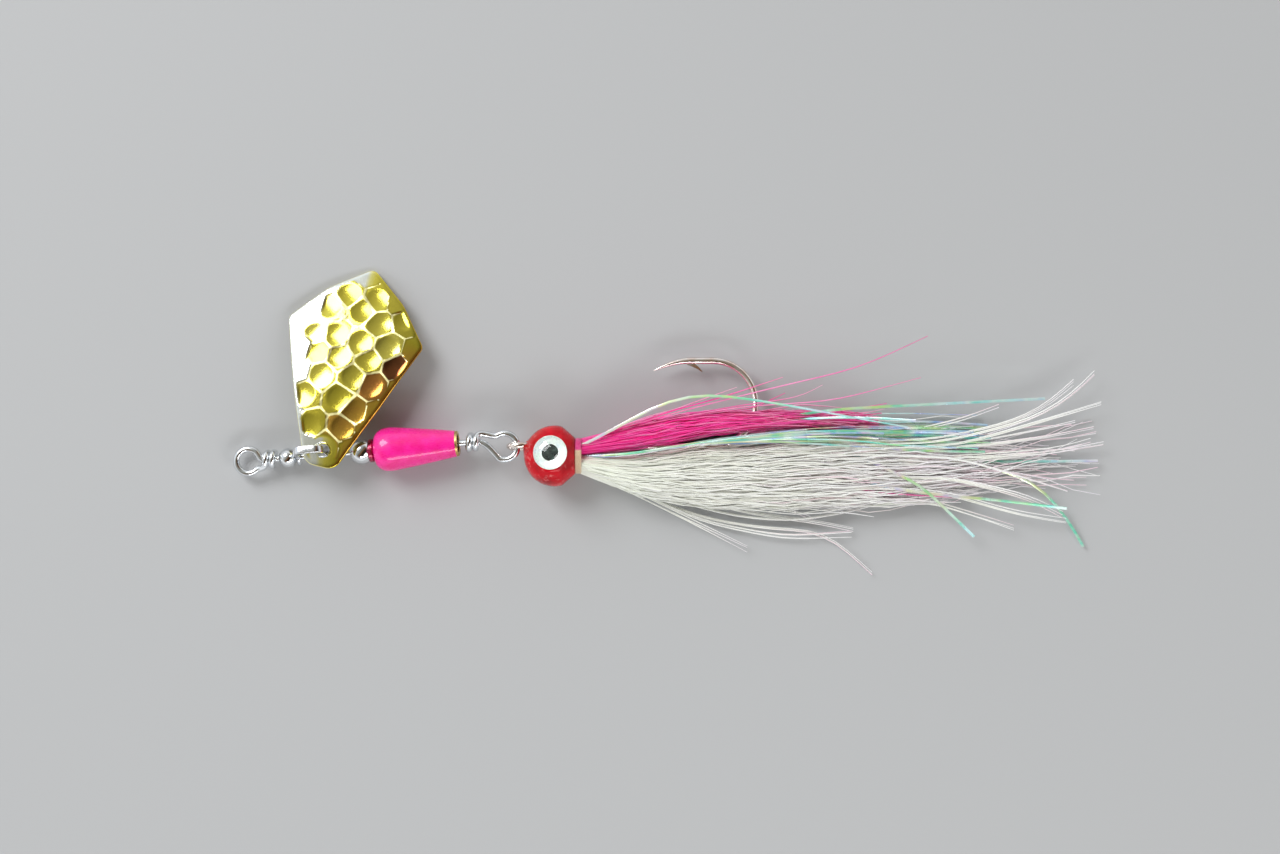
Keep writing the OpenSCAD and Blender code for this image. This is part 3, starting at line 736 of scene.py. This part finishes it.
def body():
    def nose(x):
        return BODY_R * (1 - ((NOSE_L - x) / NOSE_L)**3)**(1 / 3)

    x0 = NOSE_L * (1 - (1 - ((COLLAR_R - 0.2) / BODY_R)**3)**(1 / 3))
    paint, brass, collar, dark = range(4)
    taper = (BODY_R - BODY_REAR_R) / (BODY_L - NOSE_L)
    seat_r, seat_x = MID_BEAD_D / 2 + END_GAP, MID_BEAD_U - NOSE_U
    rim_r = math.sqrt(seat_r**2 - (-COLLAR_L - seat_x)**2)
    rear, bore = BODY_REAR_R, BODY_REAR_R - BODY_WALL
    hollow = NOSE_BORE_L + 0.8

    def side(x):
        return BODY_R - taper * (x - NOSE_L)

    def seat(r):
        return seat_x + math.sqrt(seat_r**2 - r * r), r, collar

    # x, radius, and what covers the stretch after it: along the outside to the
    # rear rim, back through the hollow and the nose's bore, and round the collar
    outline = [(x, nose(x), paint) for x in (
        x0 + (NOSE_L - x0) * t**1.6 for t in np.linspace(0, 1, 20))]
    outline += [(x, side(x) + 0.05 * math.sin(math.pi * (x - NOSE_L) / (BODY_L - NOSE_L)), paint)
                for x in np.linspace(NOSE_L, BODY_L - 0.32, 24)[1:]]
    outline += [(BODY_L - 0.3, rear + 0.02, brass), (BODY_L - 0.08, rear + 0.02, brass),
                (BODY_L, rear - 0.06, brass), (BODY_L, bore + 0.06, brass),
                # the hollow and the nose's bore take the dark slot, painted shade
                (BODY_L - 0.08, bore, dark), (hollow, side(hollow) - BODY_WALL, dark),
                (NOSE_BORE_L, BORE_R + 0.3, dark), (NOSE_BORE_L, BORE_R, dark)]
    outline += [seat(r) for r in np.linspace(BORE_R, rim_r, 9)]
    outline += [(-COLLAR_L, COLLAR_R - 0.06, collar), (-COLLAR_L + 0.06, COLLAR_R, collar),
                (x0 - 0.14, COLLAR_R, collar), (x0 - 0.04, COLLAR_R - 0.16, collar)]
    profile = np.array([(x + NOSE_U, r) for x, r, _ in outline])
    sides = 96
    cover = np.repeat([o[2] for o in outline], sides)
    make("body_painted", [lathe(profile, sides)], SHAFT, "body",
         [body_paint(), brass_metal, collar_shaded_red, inside_painted_shade], ["body_shell"],
         faces_slot=cover, sharp=32)


# ---------- hook

def hook():
    a = around(96)
    ring = np.stack([EYE_RING_R - EYE_RING_R * np.cos(a), 0 * a, EYE_RING_R * np.sin(a)], 1)
    a = np.linspace(-np.pi / 2, np.pi / 2, 64)
    spear_x, spear_y = SHANK_L - SPEAR_L, 2 * BEND_R
    t = np.linspace(0, 1, 22)[1:]
    line = np.concatenate([
        [(x, 0, 0) for x in np.linspace(2.5, SHANK_L, 60)[:-1]],
        np.stack([SHANK_L + BEND_R * np.cos(a), BEND_R + BEND_R * np.sin(a), 0 * a], 1),
        [(x, spear_y, 0) for x in np.linspace(SHANK_L, spear_x, 12)[1:]],
        np.stack([spear_x - t * POINT_L, spear_y - 1.25 * t**1.8, 0 * t], 1)])
    scale = np.ones(len(line))
    scale[-21:] = np.interp(t, [0, 0.3, 0.7, 0.93, 1], [1, 0.86, 0.52, 0.2, 0.05])
    barb = np.array([(-0.7, -0.1, 0), (-0.1, -0.27, 0), (0.5, -0.55, 0), (1.1, -0.95, 0),
                     (1.6, -1.4, 0)]) + [spear_x, spear_y, 0]
    barb_scale = [0.4, 1, 0.85, 0.5, 0.1]
    section = circle(HOOK_R, 22)
    thin = np.array([(-0.17, -0.3), (0.17, -0.3), (0.22, 0), (0.12, 0.3), (-0.12, 0.3),
                     (-0.22, 0)])
    make("hook_wire", [sweep(ring, section, closed=True), sweep(line, section, scale),
                       sweep(barb, thin, barb_scale)],
         JIG, "jig", hook_metal, ["jig_hook"], sharp=50)


# ---------- jig head

def soft_least(values, softness):
    """Smooth minimum of several arrays."""
    low = np.minimum.reduce(values)
    return low - softness * np.log(sum(np.exp(-(v - low) / softness) for v in values))


def jig_head():
    bm = bmesh.new()
    bmesh.ops.create_icosphere(bm, subdivisions=6, radius=1)
    way = np.array([tuple(v.co) for v in bm.verts])
    faces = [tuple(v.index for v in f.verts) for f in bm.faces]
    bm.free()
    way = unit(way)

    def plane(normal, distance):
        along = way @ np.array(normal)
        return np.where(along > 0.05, distance / np.maximum(along, 0.05), 50.0)

    tip, level = math.sin(EYE_FORWARD), math.cos(EYE_FORWARD)
    # the back tapers off the ball to a flat a little wider than the thread
    cone_turn, cone_reach, softness = math.radians(48), 3.36, 0.05
    off_axis = norm(way[:, 1:])
    taper = math.cos(cone_turn) * way[:, 0] + math.sin(cone_turn) * off_axis
    cone = np.where(taper > 0.3, cone_reach / np.maximum(taper, 0.3), 50.0)
    r = soft_least([np.full(len(way), HEAD_R), plane((-tip, 0, level), EYE_SEAT),
                    plane((-tip, 0, -level), EYE_SEAT), plane((1, 0, 0), HEAD_BACK), cone],
                   softness)
    # the casting runs a little way up the hook's eye, and out to the neck
    spout = unit([-math.sqrt(HEAD_R**2 - HEAD_DROP**2), HEAD_DROP, 0])
    spout_up, spout_width = 0.3, 0.018
    r = r + spout_up * np.exp(-((1 - way @ spout) / spout_width))
    radial = off_axis * r
    points = way * r[:, None]
    # parting line of the mould, round the head through the shank
    seam_width, seam_up = 0.05, 0.006
    seam = np.exp(-(points[:, 2] / seam_width)**2) * clamp((radial - 1.9) / 0.3)
    points = points * (1 + seam_up * seam[:, None])
    neck_part = lathe(rounded([(HEAD_BACK - 0.6, 0.5, 0), (HEAD_BACK - 0.6, NECK_R, 0),
                               (HEAD_BACK + NECK_L, NECK_R, 0.12),
                               (HEAD_BACK + NECK_L, 0.5, 0)], 4), 64)
    head_place = JIG.copy()
    head_place[:3, 3] += JIG[:3, :3] @ [HEAD_X, -HEAD_DROP, 0]
    make("head_cast", [(points, faces), neck_part], head_place, "jig", head_paint(),
         ["jig_head"], sharp=40)

    # thread: a helix of turns on the neck, over the hair roots
    sides, turns, rings = 96, 6, 72
    under = NECK_R + ROOT_T + 0.02
    a = around(sides)
    x = np.linspace(0, NECK_L, rings)
    phase = x[:, None] / NECK_L * turns - a[None] / (2 * np.pi)
    dome = np.abs(np.sin(np.pi * phase))**0.7
    ends = np.clip(np.minimum(x, NECK_L - x) / 0.08, 0.15, 1)[:, None]
    outer = under + THREAD_T * (0.62 * ends + 0.38 * dome * ends)
    outer_ring = np.stack([np.broadcast_to(x[:, None], outer.shape), outer * np.cos(a),
                           outer * np.sin(a)], 2).reshape(-1, 3)
    inner_ring = np.stack([np.repeat([NECK_L, 0], sides), np.tile(under * np.cos(a), 2),
                           np.tile(under * np.sin(a), 2)], 1)
    thread_place = head_place.copy()
    thread_place[:3, 3] += JIG[:3, :3] @ [HEAD_BACK, 0, 0]
    make("thread_turns", [(np.concatenate([outer_ring, inner_ring]),
                           ring_faces(rings + 2, sides, True))],
         thread_place, "jig", thread_wound(), ["thread_wrap"], sharp=60)

    # eyes, turned about each flat's normal: foil, pupil, and the dome over both
    foil = rounded([(0, 0, 0), (0, EYE_R, 0.02), (FOIL_T, EYE_R, 0.04),
                    (FOIL_T, EYE_R - 0.12, 0.05), (FOIL_T - 0.03, EYE_R - 0.24, 0.05),
                    (FOIL_T - 0.02, PUPIL_R + 0.05, 0.02), (FOIL_T, PUPIL_R, 0.01),
                    (FOIL_T, 0, 0)], 3, closed=False)
    pupil = rounded([(FOIL_T, 0, 0), (FOIL_T, PUPIL_R, 0),
                     (FOIL_T + PUPIL_T, PUPIL_R - 0.03, 0.03),
                     (FOIL_T + PUPIL_T, 0, 0)], 3, closed=False)
    dome_r = (EYE_R**2 + DOME_H**2) / (2 * DOME_H)
    low = FOIL_T + 0.012
    dome = [(low + DOME_H - dome_r + dome_r * math.cos(v), dome_r * math.sin(v))
            for v in np.linspace(0, math.asin(EYE_R / dome_r), 26)]
    dome += [(low, EYE_R - 0.03), (low, PUPIL_R + 0.02), (low + PUPIL_T, PUPIL_R),
             (low + PUPIL_T, 0)]
    pieces = (("eye_pearl_", "eye_foil_", "eye_foil", foil, 72, eye_pearl()),
              ("eye_black_", "eye_pupil_", "pupil", pupil, 56, pupil_black),
              ("eye_clear_", "eye_dome_", "eye_dome", dome, 72, dome_resin()))
    for side, name in ((1, "upper"), (-1, "lower")):
        n = np.array([-tip, 0, level * side])
        seat = placing(head_place[:3, 3] + head_place[:3, :3] @ (n * EYE_SEAT),
                       head_place[:3, :3] @ n, head_place[:3, 1])
        for piece, node, slot, profile, sides, material in pieces:
            make(piece + name, [lathe(profile, sides, closed=False)], seat, "jig",
                 material, [node + name], merge=0.002)


# ---------- hair

def slices(node, stations):
    """Centre and half size, in y and z, of a CAD node's section at each x."""
    mesh = frame["nodes"][node].data
    co = np.zeros(len(mesh.vertices) * 3)
    mesh.vertices.foreach_get("co", co)
    inverse = np.linalg.inv(HAIR)
    co = co.reshape(-1, 3) @ inverse[:3, :3].T + inverse[:3, 3]
    edges = np.zeros(len(mesh.edges) * 2, int)
    mesh.edges.foreach_get("vertices", edges)
    a, b = co[edges[0::2]], co[edges[1::2]]
    rows = []
    for x in stations:
        cut = (a[:, 0] - x) * (b[:, 0] - x) <= 0
        p, q = a[cut], b[cut]
        t = ((x - p[:, 0]) / np.where(q[:, 0] == p[:, 0], 1e-9, q[:, 0] - p[:, 0]))[:, None]
        hit = p + clamp(t) * (q - p)
        low, high = hit[:, 1:].min(0), hit[:, 1:].max(0)
        rows.append(np.concatenate([(low + high) / 2, (high - low) / 2]))
    return np.array(rows)


def tubes(corners, tone, tint):
    """Closed tubes through the corners of their sections, with how far along
    each corner is, and each tube's own tone and tint."""
    count, steps, sides, _ = corners.shape
    size = steps * sides
    pattern = tube_faces(steps, sides)
    faces = [tuple(start + i for i in f) for start in range(0, count * size, size)
             for f in pattern]
    along = np.broadcast_to(np.linspace(0, 1, steps)[None, :, None], (count, steps, sides))
    return (corners.reshape(-1, 3), faces), {
        "along": along.ravel(), "tone": np.repeat(tone, size), "tint": np.repeat(tint, size)}


def crossways(paths):
    """Two unit vectors across each path, the first of them level."""
    way = unit(np.gradient(paths, axis=1))
    side = unit(np.cross(way, np.array([0.0, 0.0, 1.0])))
    return side, np.cross(side, way)


def strands(paths, radii, tone, tint):
    """Three-sided tubes along many paths at once."""
    side, up = crossways(paths)
    a = around(3) + np.pi / 2
    section = radii[:, :, None, None] * (side[:, :, None] * np.cos(a)[:, None]
                                         + up[:, :, None] * np.sin(a)[:, None])
    return tubes(paths[:, :, None] + section, tone, tint)


def ribbons(paths, widths, tone, tint, rng):
    """Thin closed strips with a slow twist. widths are half widths."""
    half_thickness = 0.03
    side, up = crossways(paths)
    count, steps, _ = paths.shape
    twist = rng.uniform(-0.6, 0.6, count)[:, None] + \
        rng.uniform(-1.1, 1.1, count)[:, None] * np.linspace(0, 1, steps)[None]
    c, s = np.cos(twist)[:, :, None], np.sin(twist)[:, :, None]
    flat = widths[:, :, None] * (side * c + up * s)
    thin = (up * c - side * s) * half_thickness
    return tubes(np.stack([paths + flat, paths + thin, paths - flat, paths - thin], 2),
                 tone, tint)


ROOT_X = HEAD_X + HEAD_BACK + 0.25
ROOT_R = NECK_R + ROOT_T - 0.06
NECK_Y, NECK_Z = -HEAD_DROP * math.cos(JIG_ROLL), HEAD_DROP * math.sin(JIG_ROLL)
STEPS = 18           # points along a strand
LEAST_HEIGHT = 0.12  # of a strand's centre line over the table
STRIP_LEAST_HEIGHT = 0.25


def bundle(node, count, lengths, seed, fan, wave, thickness, loose):
    """Strand paths that fill a CAD hair node: they run together from the neck,
    part into locks, and each ends at its own length."""
    rng = np.random.default_rng(seed)
    share, reach = zip(*lengths)
    length = np.interp(rng.uniform(0, 1, count), share, reach)
    t = np.linspace(0, 1, STEPS)[None]
    x = ROOT_X + (length[:, None] - ROOT_X) * t**0.9
    low_x, high_x = ROOT_X + 0.62, reach_of(node)
    stations = np.linspace(low_x, high_x - 0.05, 60)
    table = slices(node, stations)
    section = [np.interp(x, stations, table[:, k]) for k in range(4)]
    # where the strand lies in the section, as a share of its half size
    locks = 46
    lock_at = rng.uniform(-1, 1, (locks, 2)) * 0.92
    lock = rng.integers(0, locks, count)
    own = rng.uniform(0, 2 * np.pi, count)
    out = np.sqrt(rng.uniform(0, 1, count))
    place = np.stack([np.cos(own), np.sin(own)], 1) * out[:, None]
    pull = (0.10 + 0.45 * rng.uniform(0, 1, count))[:, None]
    drift = clamp((x - ROOT_X) / 40)[:, :, None]
    to_lock = pull[:, None] * drift
    at = place[:, None] * (1 - to_lock) + lock_at[lock][:, None] * to_lock
    free = rng.uniform(0, 1, count) < loose
    lift = np.where(free, rng.uniform(0.1, 0.55, count), 0)[:, None]
    at = at * (1 + (lift * t**2)[:, :, None])
    run = x - ROOT_X
    wave_starts_over = 9
    ease = clamp(run / wave_starts_over)
    lock_wave = rng.uniform(0, 2 * np.pi, (locks, 2))[lock]
    pace = rng.uniform(0.45, 0.8, locks)[lock]
    own_wave = rng.uniform(0, 2 * np.pi, (count, 2))
    own_pace = rng.uniform(0.6, 1.3, count)
    moves = []
    for k in range(2):
        m = wave * np.sin(run * pace[:, None] + lock_wave[:, k, None])
        m = m + 0.55 * wave * np.sin(run * own_pace[:, None] + own_wave[:, k, None])
        moves.append(m * ease)
    y = section[0] + section[2] * at[:, :, 0] + moves[0]
    z = section[1] + section[3] * at[:, :, 1] + 0.6 * moves[1]
    # under the thread they lie inside the round of the neck
    let_go_over = 4.5
    held = eased(clamp((x - low_x) / let_go_over))
    depth = np.sqrt(np.maximum(ROOT_R**2 - (y - NECK_Y)**2, 0.02))
    z = (NECK_Z + depth * np.clip(at[:, :, 1], -1, 1)) * (1 - held) + z * held
    # the ends fan out
    spread = rng.normal(0.25, 1, count)[:, None]
    y = y + fan * spread * np.clip((x - 0.6 * high_x) / (0.4 * high_x), 0, 1.3)**2
    z = np.maximum(z, LEAST_HEIGHT - LINK_Z)
    thick = thickness * rng.uniform(0.75, 1.2, count)[:, None]
    radii = thick * np.interp(t, [0, 0.6, 0.93, 1], [0.9, 1, 0.85, 0.45])
    tone = clamp(rng.normal(0.5, 0.17, count) + 0.12 * rng.normal(0, 1, locks)[lock])
    return np.stack([x, y, z], 2), radii, tone, rng.uniform(0, 1, count)


def reach_of(node):
    """How far a CAD node reaches from the link, in millimetres."""
    return (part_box(node)[1][0] - link[0]) / MM


def arcs(routes, thickness, seed, copies=1):
    """Loose strands along routes of (x, y, height over the table)."""
    rng = np.random.default_rng(seed)
    t = np.linspace(0, 1, STEPS)
    paths = []
    for route in routes:
        p = np.array(route, float)
        p[:, 2] -= LINK_Z
        run = np.r_[0, np.cumsum(norm(np.diff(p, axis=0)))]
        at = t * run[-1]
        coarse = np.stack([np.interp(at, run, p[:, k]) for k in range(3)], 1)
        for _ in range(3):
            coarse[1:-1] = (coarse[:-2] + 2 * coarse[1:-1] + coarse[2:]) / 4
        for copy in range(copies):
            part = rng.normal(0, 0.16, 3) * (copy > 0) * [0, 1, 0.4]
            drift = rng.normal(0, 0.3, 3) * (copy > 0) * [0, 1, 0.3]
            paths.append(coarse + part + drift * t[:, None]**2)
    count = len(paths)
    radii = thickness * rng.uniform(0.85, 1.1, count)[:, None] * \
        np.interp(t, [0, 0.7, 1], [1, 1, 0.45])[None]
    return np.array(paths), radii, rng.uniform(0.4, 0.95, count), rng.uniform(0, 1, count)


def joined(*groups):
    return [np.concatenate([g[k] for g in groups]) for k in range(4)]


def hair_piece(name, node, group, material):
    part, spread = strands(*group)
    make(name, [part], HAIR, "jig", material, [node], sharp=80, attributes=spread)


def pink_hair():
    material = hair("hair_pink", (0.8, 0.008, 0.23), [
        (0.25, (0.85, 0.005, 0.24)), (0.4, (1.0, 0.016, 0.34)), (0.56, (1.0, 0.09, 0.47)),
        (0.75, (1.0, 0.4, 0.66))],
        [(0.2, (0.8, 0.04, 0.3)), (0.6, (0.93, 0.3, 0.5)), (0.85, (0.9, 0.6, 0.7))], 0.36)
    full = bundle("pink_hair", 1500, [(0, 26), (0.25, 35), (0.7, 40), (0.94, 44), (1, 46.5)],
                  11, 0.5, 0.16, 0.085, 0.05)
    strays = arcs([
        [(12, 1.8, 5.2), (22, 4.6, 5.6), (34, 7.6, 5.6), (43, 9.6, 5), (51.5, 13.6, 4.4)],
        [(16, 2.6, 5.2), (28, 4.9, 5), (40, 5.6, 4.6), (50.7, 8.5, 4)],
        [(13, 1.9, 5), (20, 4.4, 5.6), (26, 6, 5.8), (33.6, 8.5, 5.4)],
        [(12, 1.9, 4.8), (19, 4.1, 5), (28, 7.3, 5)],
        [(11, 1.4, 5), (17, 3.7, 5.4), (21.5, 4.9, 5.6)],
        [(12, 1.8, 4.5), (16.5, 3, 4.9), (18, 3.9, 5)],
        [(18, 3.2, 4.4), (28, 5, 4.4), (36, 6.1, 4.2), (38.6, 7.6, 4)],
        [(22, 3.9, 4), (30, 4.7, 3.6), (34, 6.6, 3.4)],
        [(30, 4.2, 3.6), (36, 5.2, 3.4), (41, 4.8, 3)],
        [(30, 3.6, 4.4), (40, 4.2, 4.2), (46.5, 5.3, 3.8)],
        [(30, -3, 3), (46, -5.8, 3), (56.6, -6.4, 2.6)]], 0.085, 5)
    hair_piece("pink_strands", "pink_hair", joined(full, strays), material)


def white_hair():
    material = hair("hair_white", (0.88, 0.93, 0.8), [
        (0.2, (0.8, 0.8, 0.72)), (0.36, (0.92, 0.93, 0.86)), (0.55, (0.98, 0.99, 0.94)),
        (0.8, (1.0, 1.0, 0.99))],
        [(0.25, (0.96, 0.96, 0.97)), (0.5, (0.86, 0.8, 0.9)), (0.7, (0.9, 0.86, 0.9)),
         (0.9, (0.93, 0.6, 0.74))], 0.42)
    full = bundle("white_hair", 1880,
                  [(0, 32), (0.18, 43), (0.5, 49), (0.8, 55), (0.93, 60), (0.975, 66), (1, 73.5)],
                  23, 2.3, 0.2, 0.09, 0.05)
    strays = arcs([
        [(12, -4.4, 1.5), (20, -8.2, 1.2), (29.4, -12.6, 0.9)],
        [(14, -4.8, 1.6), (24, -9.3, 1.2), (34, -11.2, 1), (42.4, -10.7, 0.9)],
        [(14, -5, 1.3), (24, -8.9, 1), (32, -10.2, 0.8), (38.6, -10.3, 0.7), (41.4, -12.4, 0.6),
         (45, -15.7, 0.5)],
        [(16, -5.4, 1.8), (27, -8.6, 1.6), (35, -9.4, 1.4), (45, -7.6, 1.6), (50, -5, 2)],
        [(20, -6, 1.4), (30, -8.5, 1.2), (38, -9.6, 1), (42.6, -10.6, 0.9)],
        [(26, -7, 1.2), (34, -7.8, 1), (38, -9.3, 0.8)],
        [(44, -7, 2), (52, -6.6, 2.2), (60, -9, 1.8), (62.5, -9.8, 1.4)],
        [(44, -5, 3), (54, -5.8, 2.8), (63, -8.4, 2), (69, -9.4, 1.6)],
        [(42, -4, 3), (54, -3.8, 3), (64, -6.2, 2.4), (68.5, -8.5, 1.8)],
        [(40, -1, 3.6), (55, -1.4, 3.2), (64, -4, 3), (69, -5.6, 2.6)],
        [(40, 0.5, 3.6), (52, 0.8, 3.4), (61, 2.6, 3), (66, 4.6, 2.6), (69.8, 8, 2.2)],
        [(40, 0, 3.6), (53, 0.4, 3.4), (64, 3, 3), (69, 5.6, 2.6), (72.4, 9, 2.2)],
        [(40, -0.4, 3.4), (55, 0, 3.2), (66, 3.2, 2.8), (73.2, 5.4, 2.4)],
        [(42, -0.4, 3.2), (56, 0.4, 3), (64, 1.8, 2.6), (70, 3.2, 2.2)],
        [(42, -1, 3.2), (58, 0, 2.8), (66, 1, 2.4), (72.3, 2.2, 2)],
        [(42, -1.6, 3), (58, -1, 2.6), (68, -0.2, 2.2), (72, 1, 1.8)],
        [(42, 0.6, 3.2), (50, 1.8, 3), (56, 3.2, 2.8), (60.5, 4.8, 2.6)],
        [(42, -2, 3), (56, -2, 2.6), (68, -0.8, 2), (73.6, 0.2, 1.6)]], 0.095, 9, 3)
    hair_piece("white_strands", "white_hair", joined(full, strays), material)


def tinsel():
    """Flat strips of film that lie in the split and fan over the hair's ends."""
    material, single_half_width = tinsel_film(), 0.17
    extra = {
        "upper": [
            [(8.6, 0, 5), (11, 1, 5.4), (14.5, 3.1, 6), (19, 5.6, 6.4), (23, 6.7, 6.4),
             (29, 5.9, 6), (37, 4.6, 5.4), (43, 3.4, 5), (49, 2.4, 4.6)],
            [(26, 1.6, 2.6), (31, 3, 3.6), (38.3, 4.5, 4.8), (52, 5.2, 4.6), (66, 5.9, 4)],
            [(26, 1.4, 2.6), (31, 2.6, 3.4), (37, 3.5, 4.6), (43, 3.6, 4.7), (50, 3.2, 4.4)],
            [(38, 0.4, 2.2), (44, -1.6, 3.2), (50.6, -4.7, 4), (57.5, -11.2, 2)],
            [(40, -3.6, 2.2), (46, -5, 3.2), (52, -5.9, 3.6), (60, -6.6, 3), (69, -7.7, 2)]],
        "lower": [
            [(40, -0.6, 2), (52, -1.8, 2), (64, -1.9, 1.6), (73, -1.8, 1.2)],
            [(40, -1.4, 2), (56, -1.6, 2), (65, -4.2, 1.6), (69, -8.4, 1), (71.3, -12.5, 0.6)]]}
    for side, name, count, seed in ((1, "upper", 26, 31), (-1, "lower", 9, 32)):
        rng = np.random.default_rng(seed)
        node = "tinsel_" + name
        top = reach_of(node)
        stations = np.linspace((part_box(node)[0][0] - link[0]) / MM + 0.05, top - 0.05, 50)
        table = slices(node, stations)
        ends = np.minimum(np.interp(rng.uniform(0, 1, count), [0, 0.3, 0.45, 1],
                                    [36, 46, 57, 59.5]), top + 1)
        t = np.linspace(0, 1, STEPS)[None]
        x = ROOT_X + 0.3 + (ends[:, None] - ROOT_X - 0.3) * t
        section = [np.interp(x, stations, table[:, k]) for k in range(4)]
        fan = clamp((x - 18) / 30)
        across = rng.uniform(-1, 1, count)[:, None]
        shift = 1.35 if side > 0 else -0.5
        y = section[0] + across * (0.05 + 1.6 * fan**1.4) - 0.1 - shift * fan
        rise = rng.uniform(0.2, 1, count)[:, None]
        if side > 0:    # over the hair's upper surface, where it shows
            crown = np.interp(x, [8, 12, 16, 25, 34, 44, 52, 60],
                              [4.6, 5.3, 5.6, 5.4, 4.9, 4.2, 3.7, 3.2]) - LINK_Z
            z = section[1] + (crown - 0.1 - section[1]) * rise**0.6 * clamp(
                (x - ROOT_X) / 5)
        else:
            z = section[1] - section[3] * 0.8 * rise
        y = y + 0.12 * np.sin(x * rng.uniform(0.15, 0.3, count)[:, None]
                              + rng.uniform(0, 6, count)[:, None])
        z = np.maximum(z, STRIP_LEAST_HEIGHT - LINK_Z)
        group = (np.stack([x, y, z], 2), 0.055 + 0.085 * fan,
                 rng.uniform(0, 1, count), rng.uniform(0, 1, count))
        single = arcs(extra[name], single_half_width, seed + 5)
        single[1][:] = single_half_width
        paths, radii, tone, tint = joined(group, single)
        part, spread = ribbons(paths, radii, tone, tint, rng)
        make("tinsel_strips_" + name, [part], HAIR, "jig", material, [node],
             sharp=50, attributes=spread)


# ---------- stage

def area_light(name, at, towards, size, power, colour=(1, 1, 1), tall=None):
    light = bpy.data.lights.new(name, "AREA")
    light.energy, light.color, light.size = power, colour, size
    if tall:
        light.shape, light.size_y = "RECTANGLE", tall
    obj = added(name, light)
    obj.location = at
    obj.rotation_euler = (Vector(towards) - Vector(at)).to_track_quat("-Z", "Y").to_euler()


def stage():
    scene = bpy.context.scene
    scene.view_settings.view_transform = "Standard"
    mesh = bpy.data.meshes.new("floor")
    mesh.from_pydata([(-2, -2, 0), (2, -2, 0), (2, 2, 0), (-2, 2, 0)], [], [(0, 1, 2, 3)])
    floor = added("floor", mesh)
    paper = Shader("floor_paper", base_color=(0.47, 0.48, 0.49), roughness=0.75)
    mesh.materials.append(paper.material)

    # soft surroundings: pale low down, and overhead a slow change from a bright
    # upper left to a dim right, so that metal has something to reflect
    world = bpy.data.worlds.new("studio")
    scene.world = world
    world.use_nodes = True
    sky = Nodes(world.node_tree)
    where = sky.node("TexCoord", {}).outputs["Generated"]
    across = sky.node("VectorMath", {0: where, 1: (-0.8, 0.6, 0)}, operation="DOT_PRODUCT")
    overhead = sky.ramp(sky.band(across.outputs["Value"], -0.5, 0.9), [
        (0.0, (0.02, 0.016, 0.012)), (0.2, (0.04, 0.026, 0.016)), (0.32, (0.26, 0.13, 0.06)),
        (0.4, (0.12, 0.12, 0.1)), (0.52, (0.32, 0.32, 0.29)), (0.66, (0.44, 0.44, 0.41)),
        (0.78, (0.62, 0.63, 0.62)), (0.88, (0.8, 0.88, 0.95)), (1.0, (0.5, 0.68, 0.9))])
    height = sky.node("SeparateXYZ", {0: where}).outputs["Z"]
    level = sky.ramp(height, [(0.3, (0, 0, 0)), (0.62, (1, 1, 1))])
    background = sky.tree.nodes["Background"]
    sky.put(background, "Color", sky.blend(level, (0.86, 0.87, 0.88), overhead))
    sky.put(background, "Strength", 1.05)

    area_light("key", (-0.34, 0.31, 0.42), (0, 0, 0), 0.3, 2.5)
    area_light("fill", (0.36, -0.3, 0.4), (0.01, 0, 0), 0.3, 0.9, (1, 0.98, 0.95))
    area_light("front", (0.02, -0.4, 0.3), (0, 0, 0), 0.3, 0.6, (0.95, 0.98, 1), tall=0.12)

    cam = bpy.data.cameras.new("camera")
    cam.sensor_width = 36
    distance, shown = 0.32, 0.158
    cam.lens = cam.sensor_width * distance / shown
    cam.clip_start, cam.clip_end = 0.01, 10
    obj = added("camera", cam)
    obj.location = (-0.0027, -0.0047, distance + 0.0035)
    scene.camera = obj


stage()
wire_shaft()
bead("bead_front", FRONT_BEAD_D, FRONT_BEAD_U, "front_bead", "front_bead")
bead("bead_mid", MID_BEAD_D, MID_BEAD_U, "mid_bead", "mid_bead")
clevis()
blade()
body()
hook()
jig_head()
pink_hair()
white_hair()
tinsel()
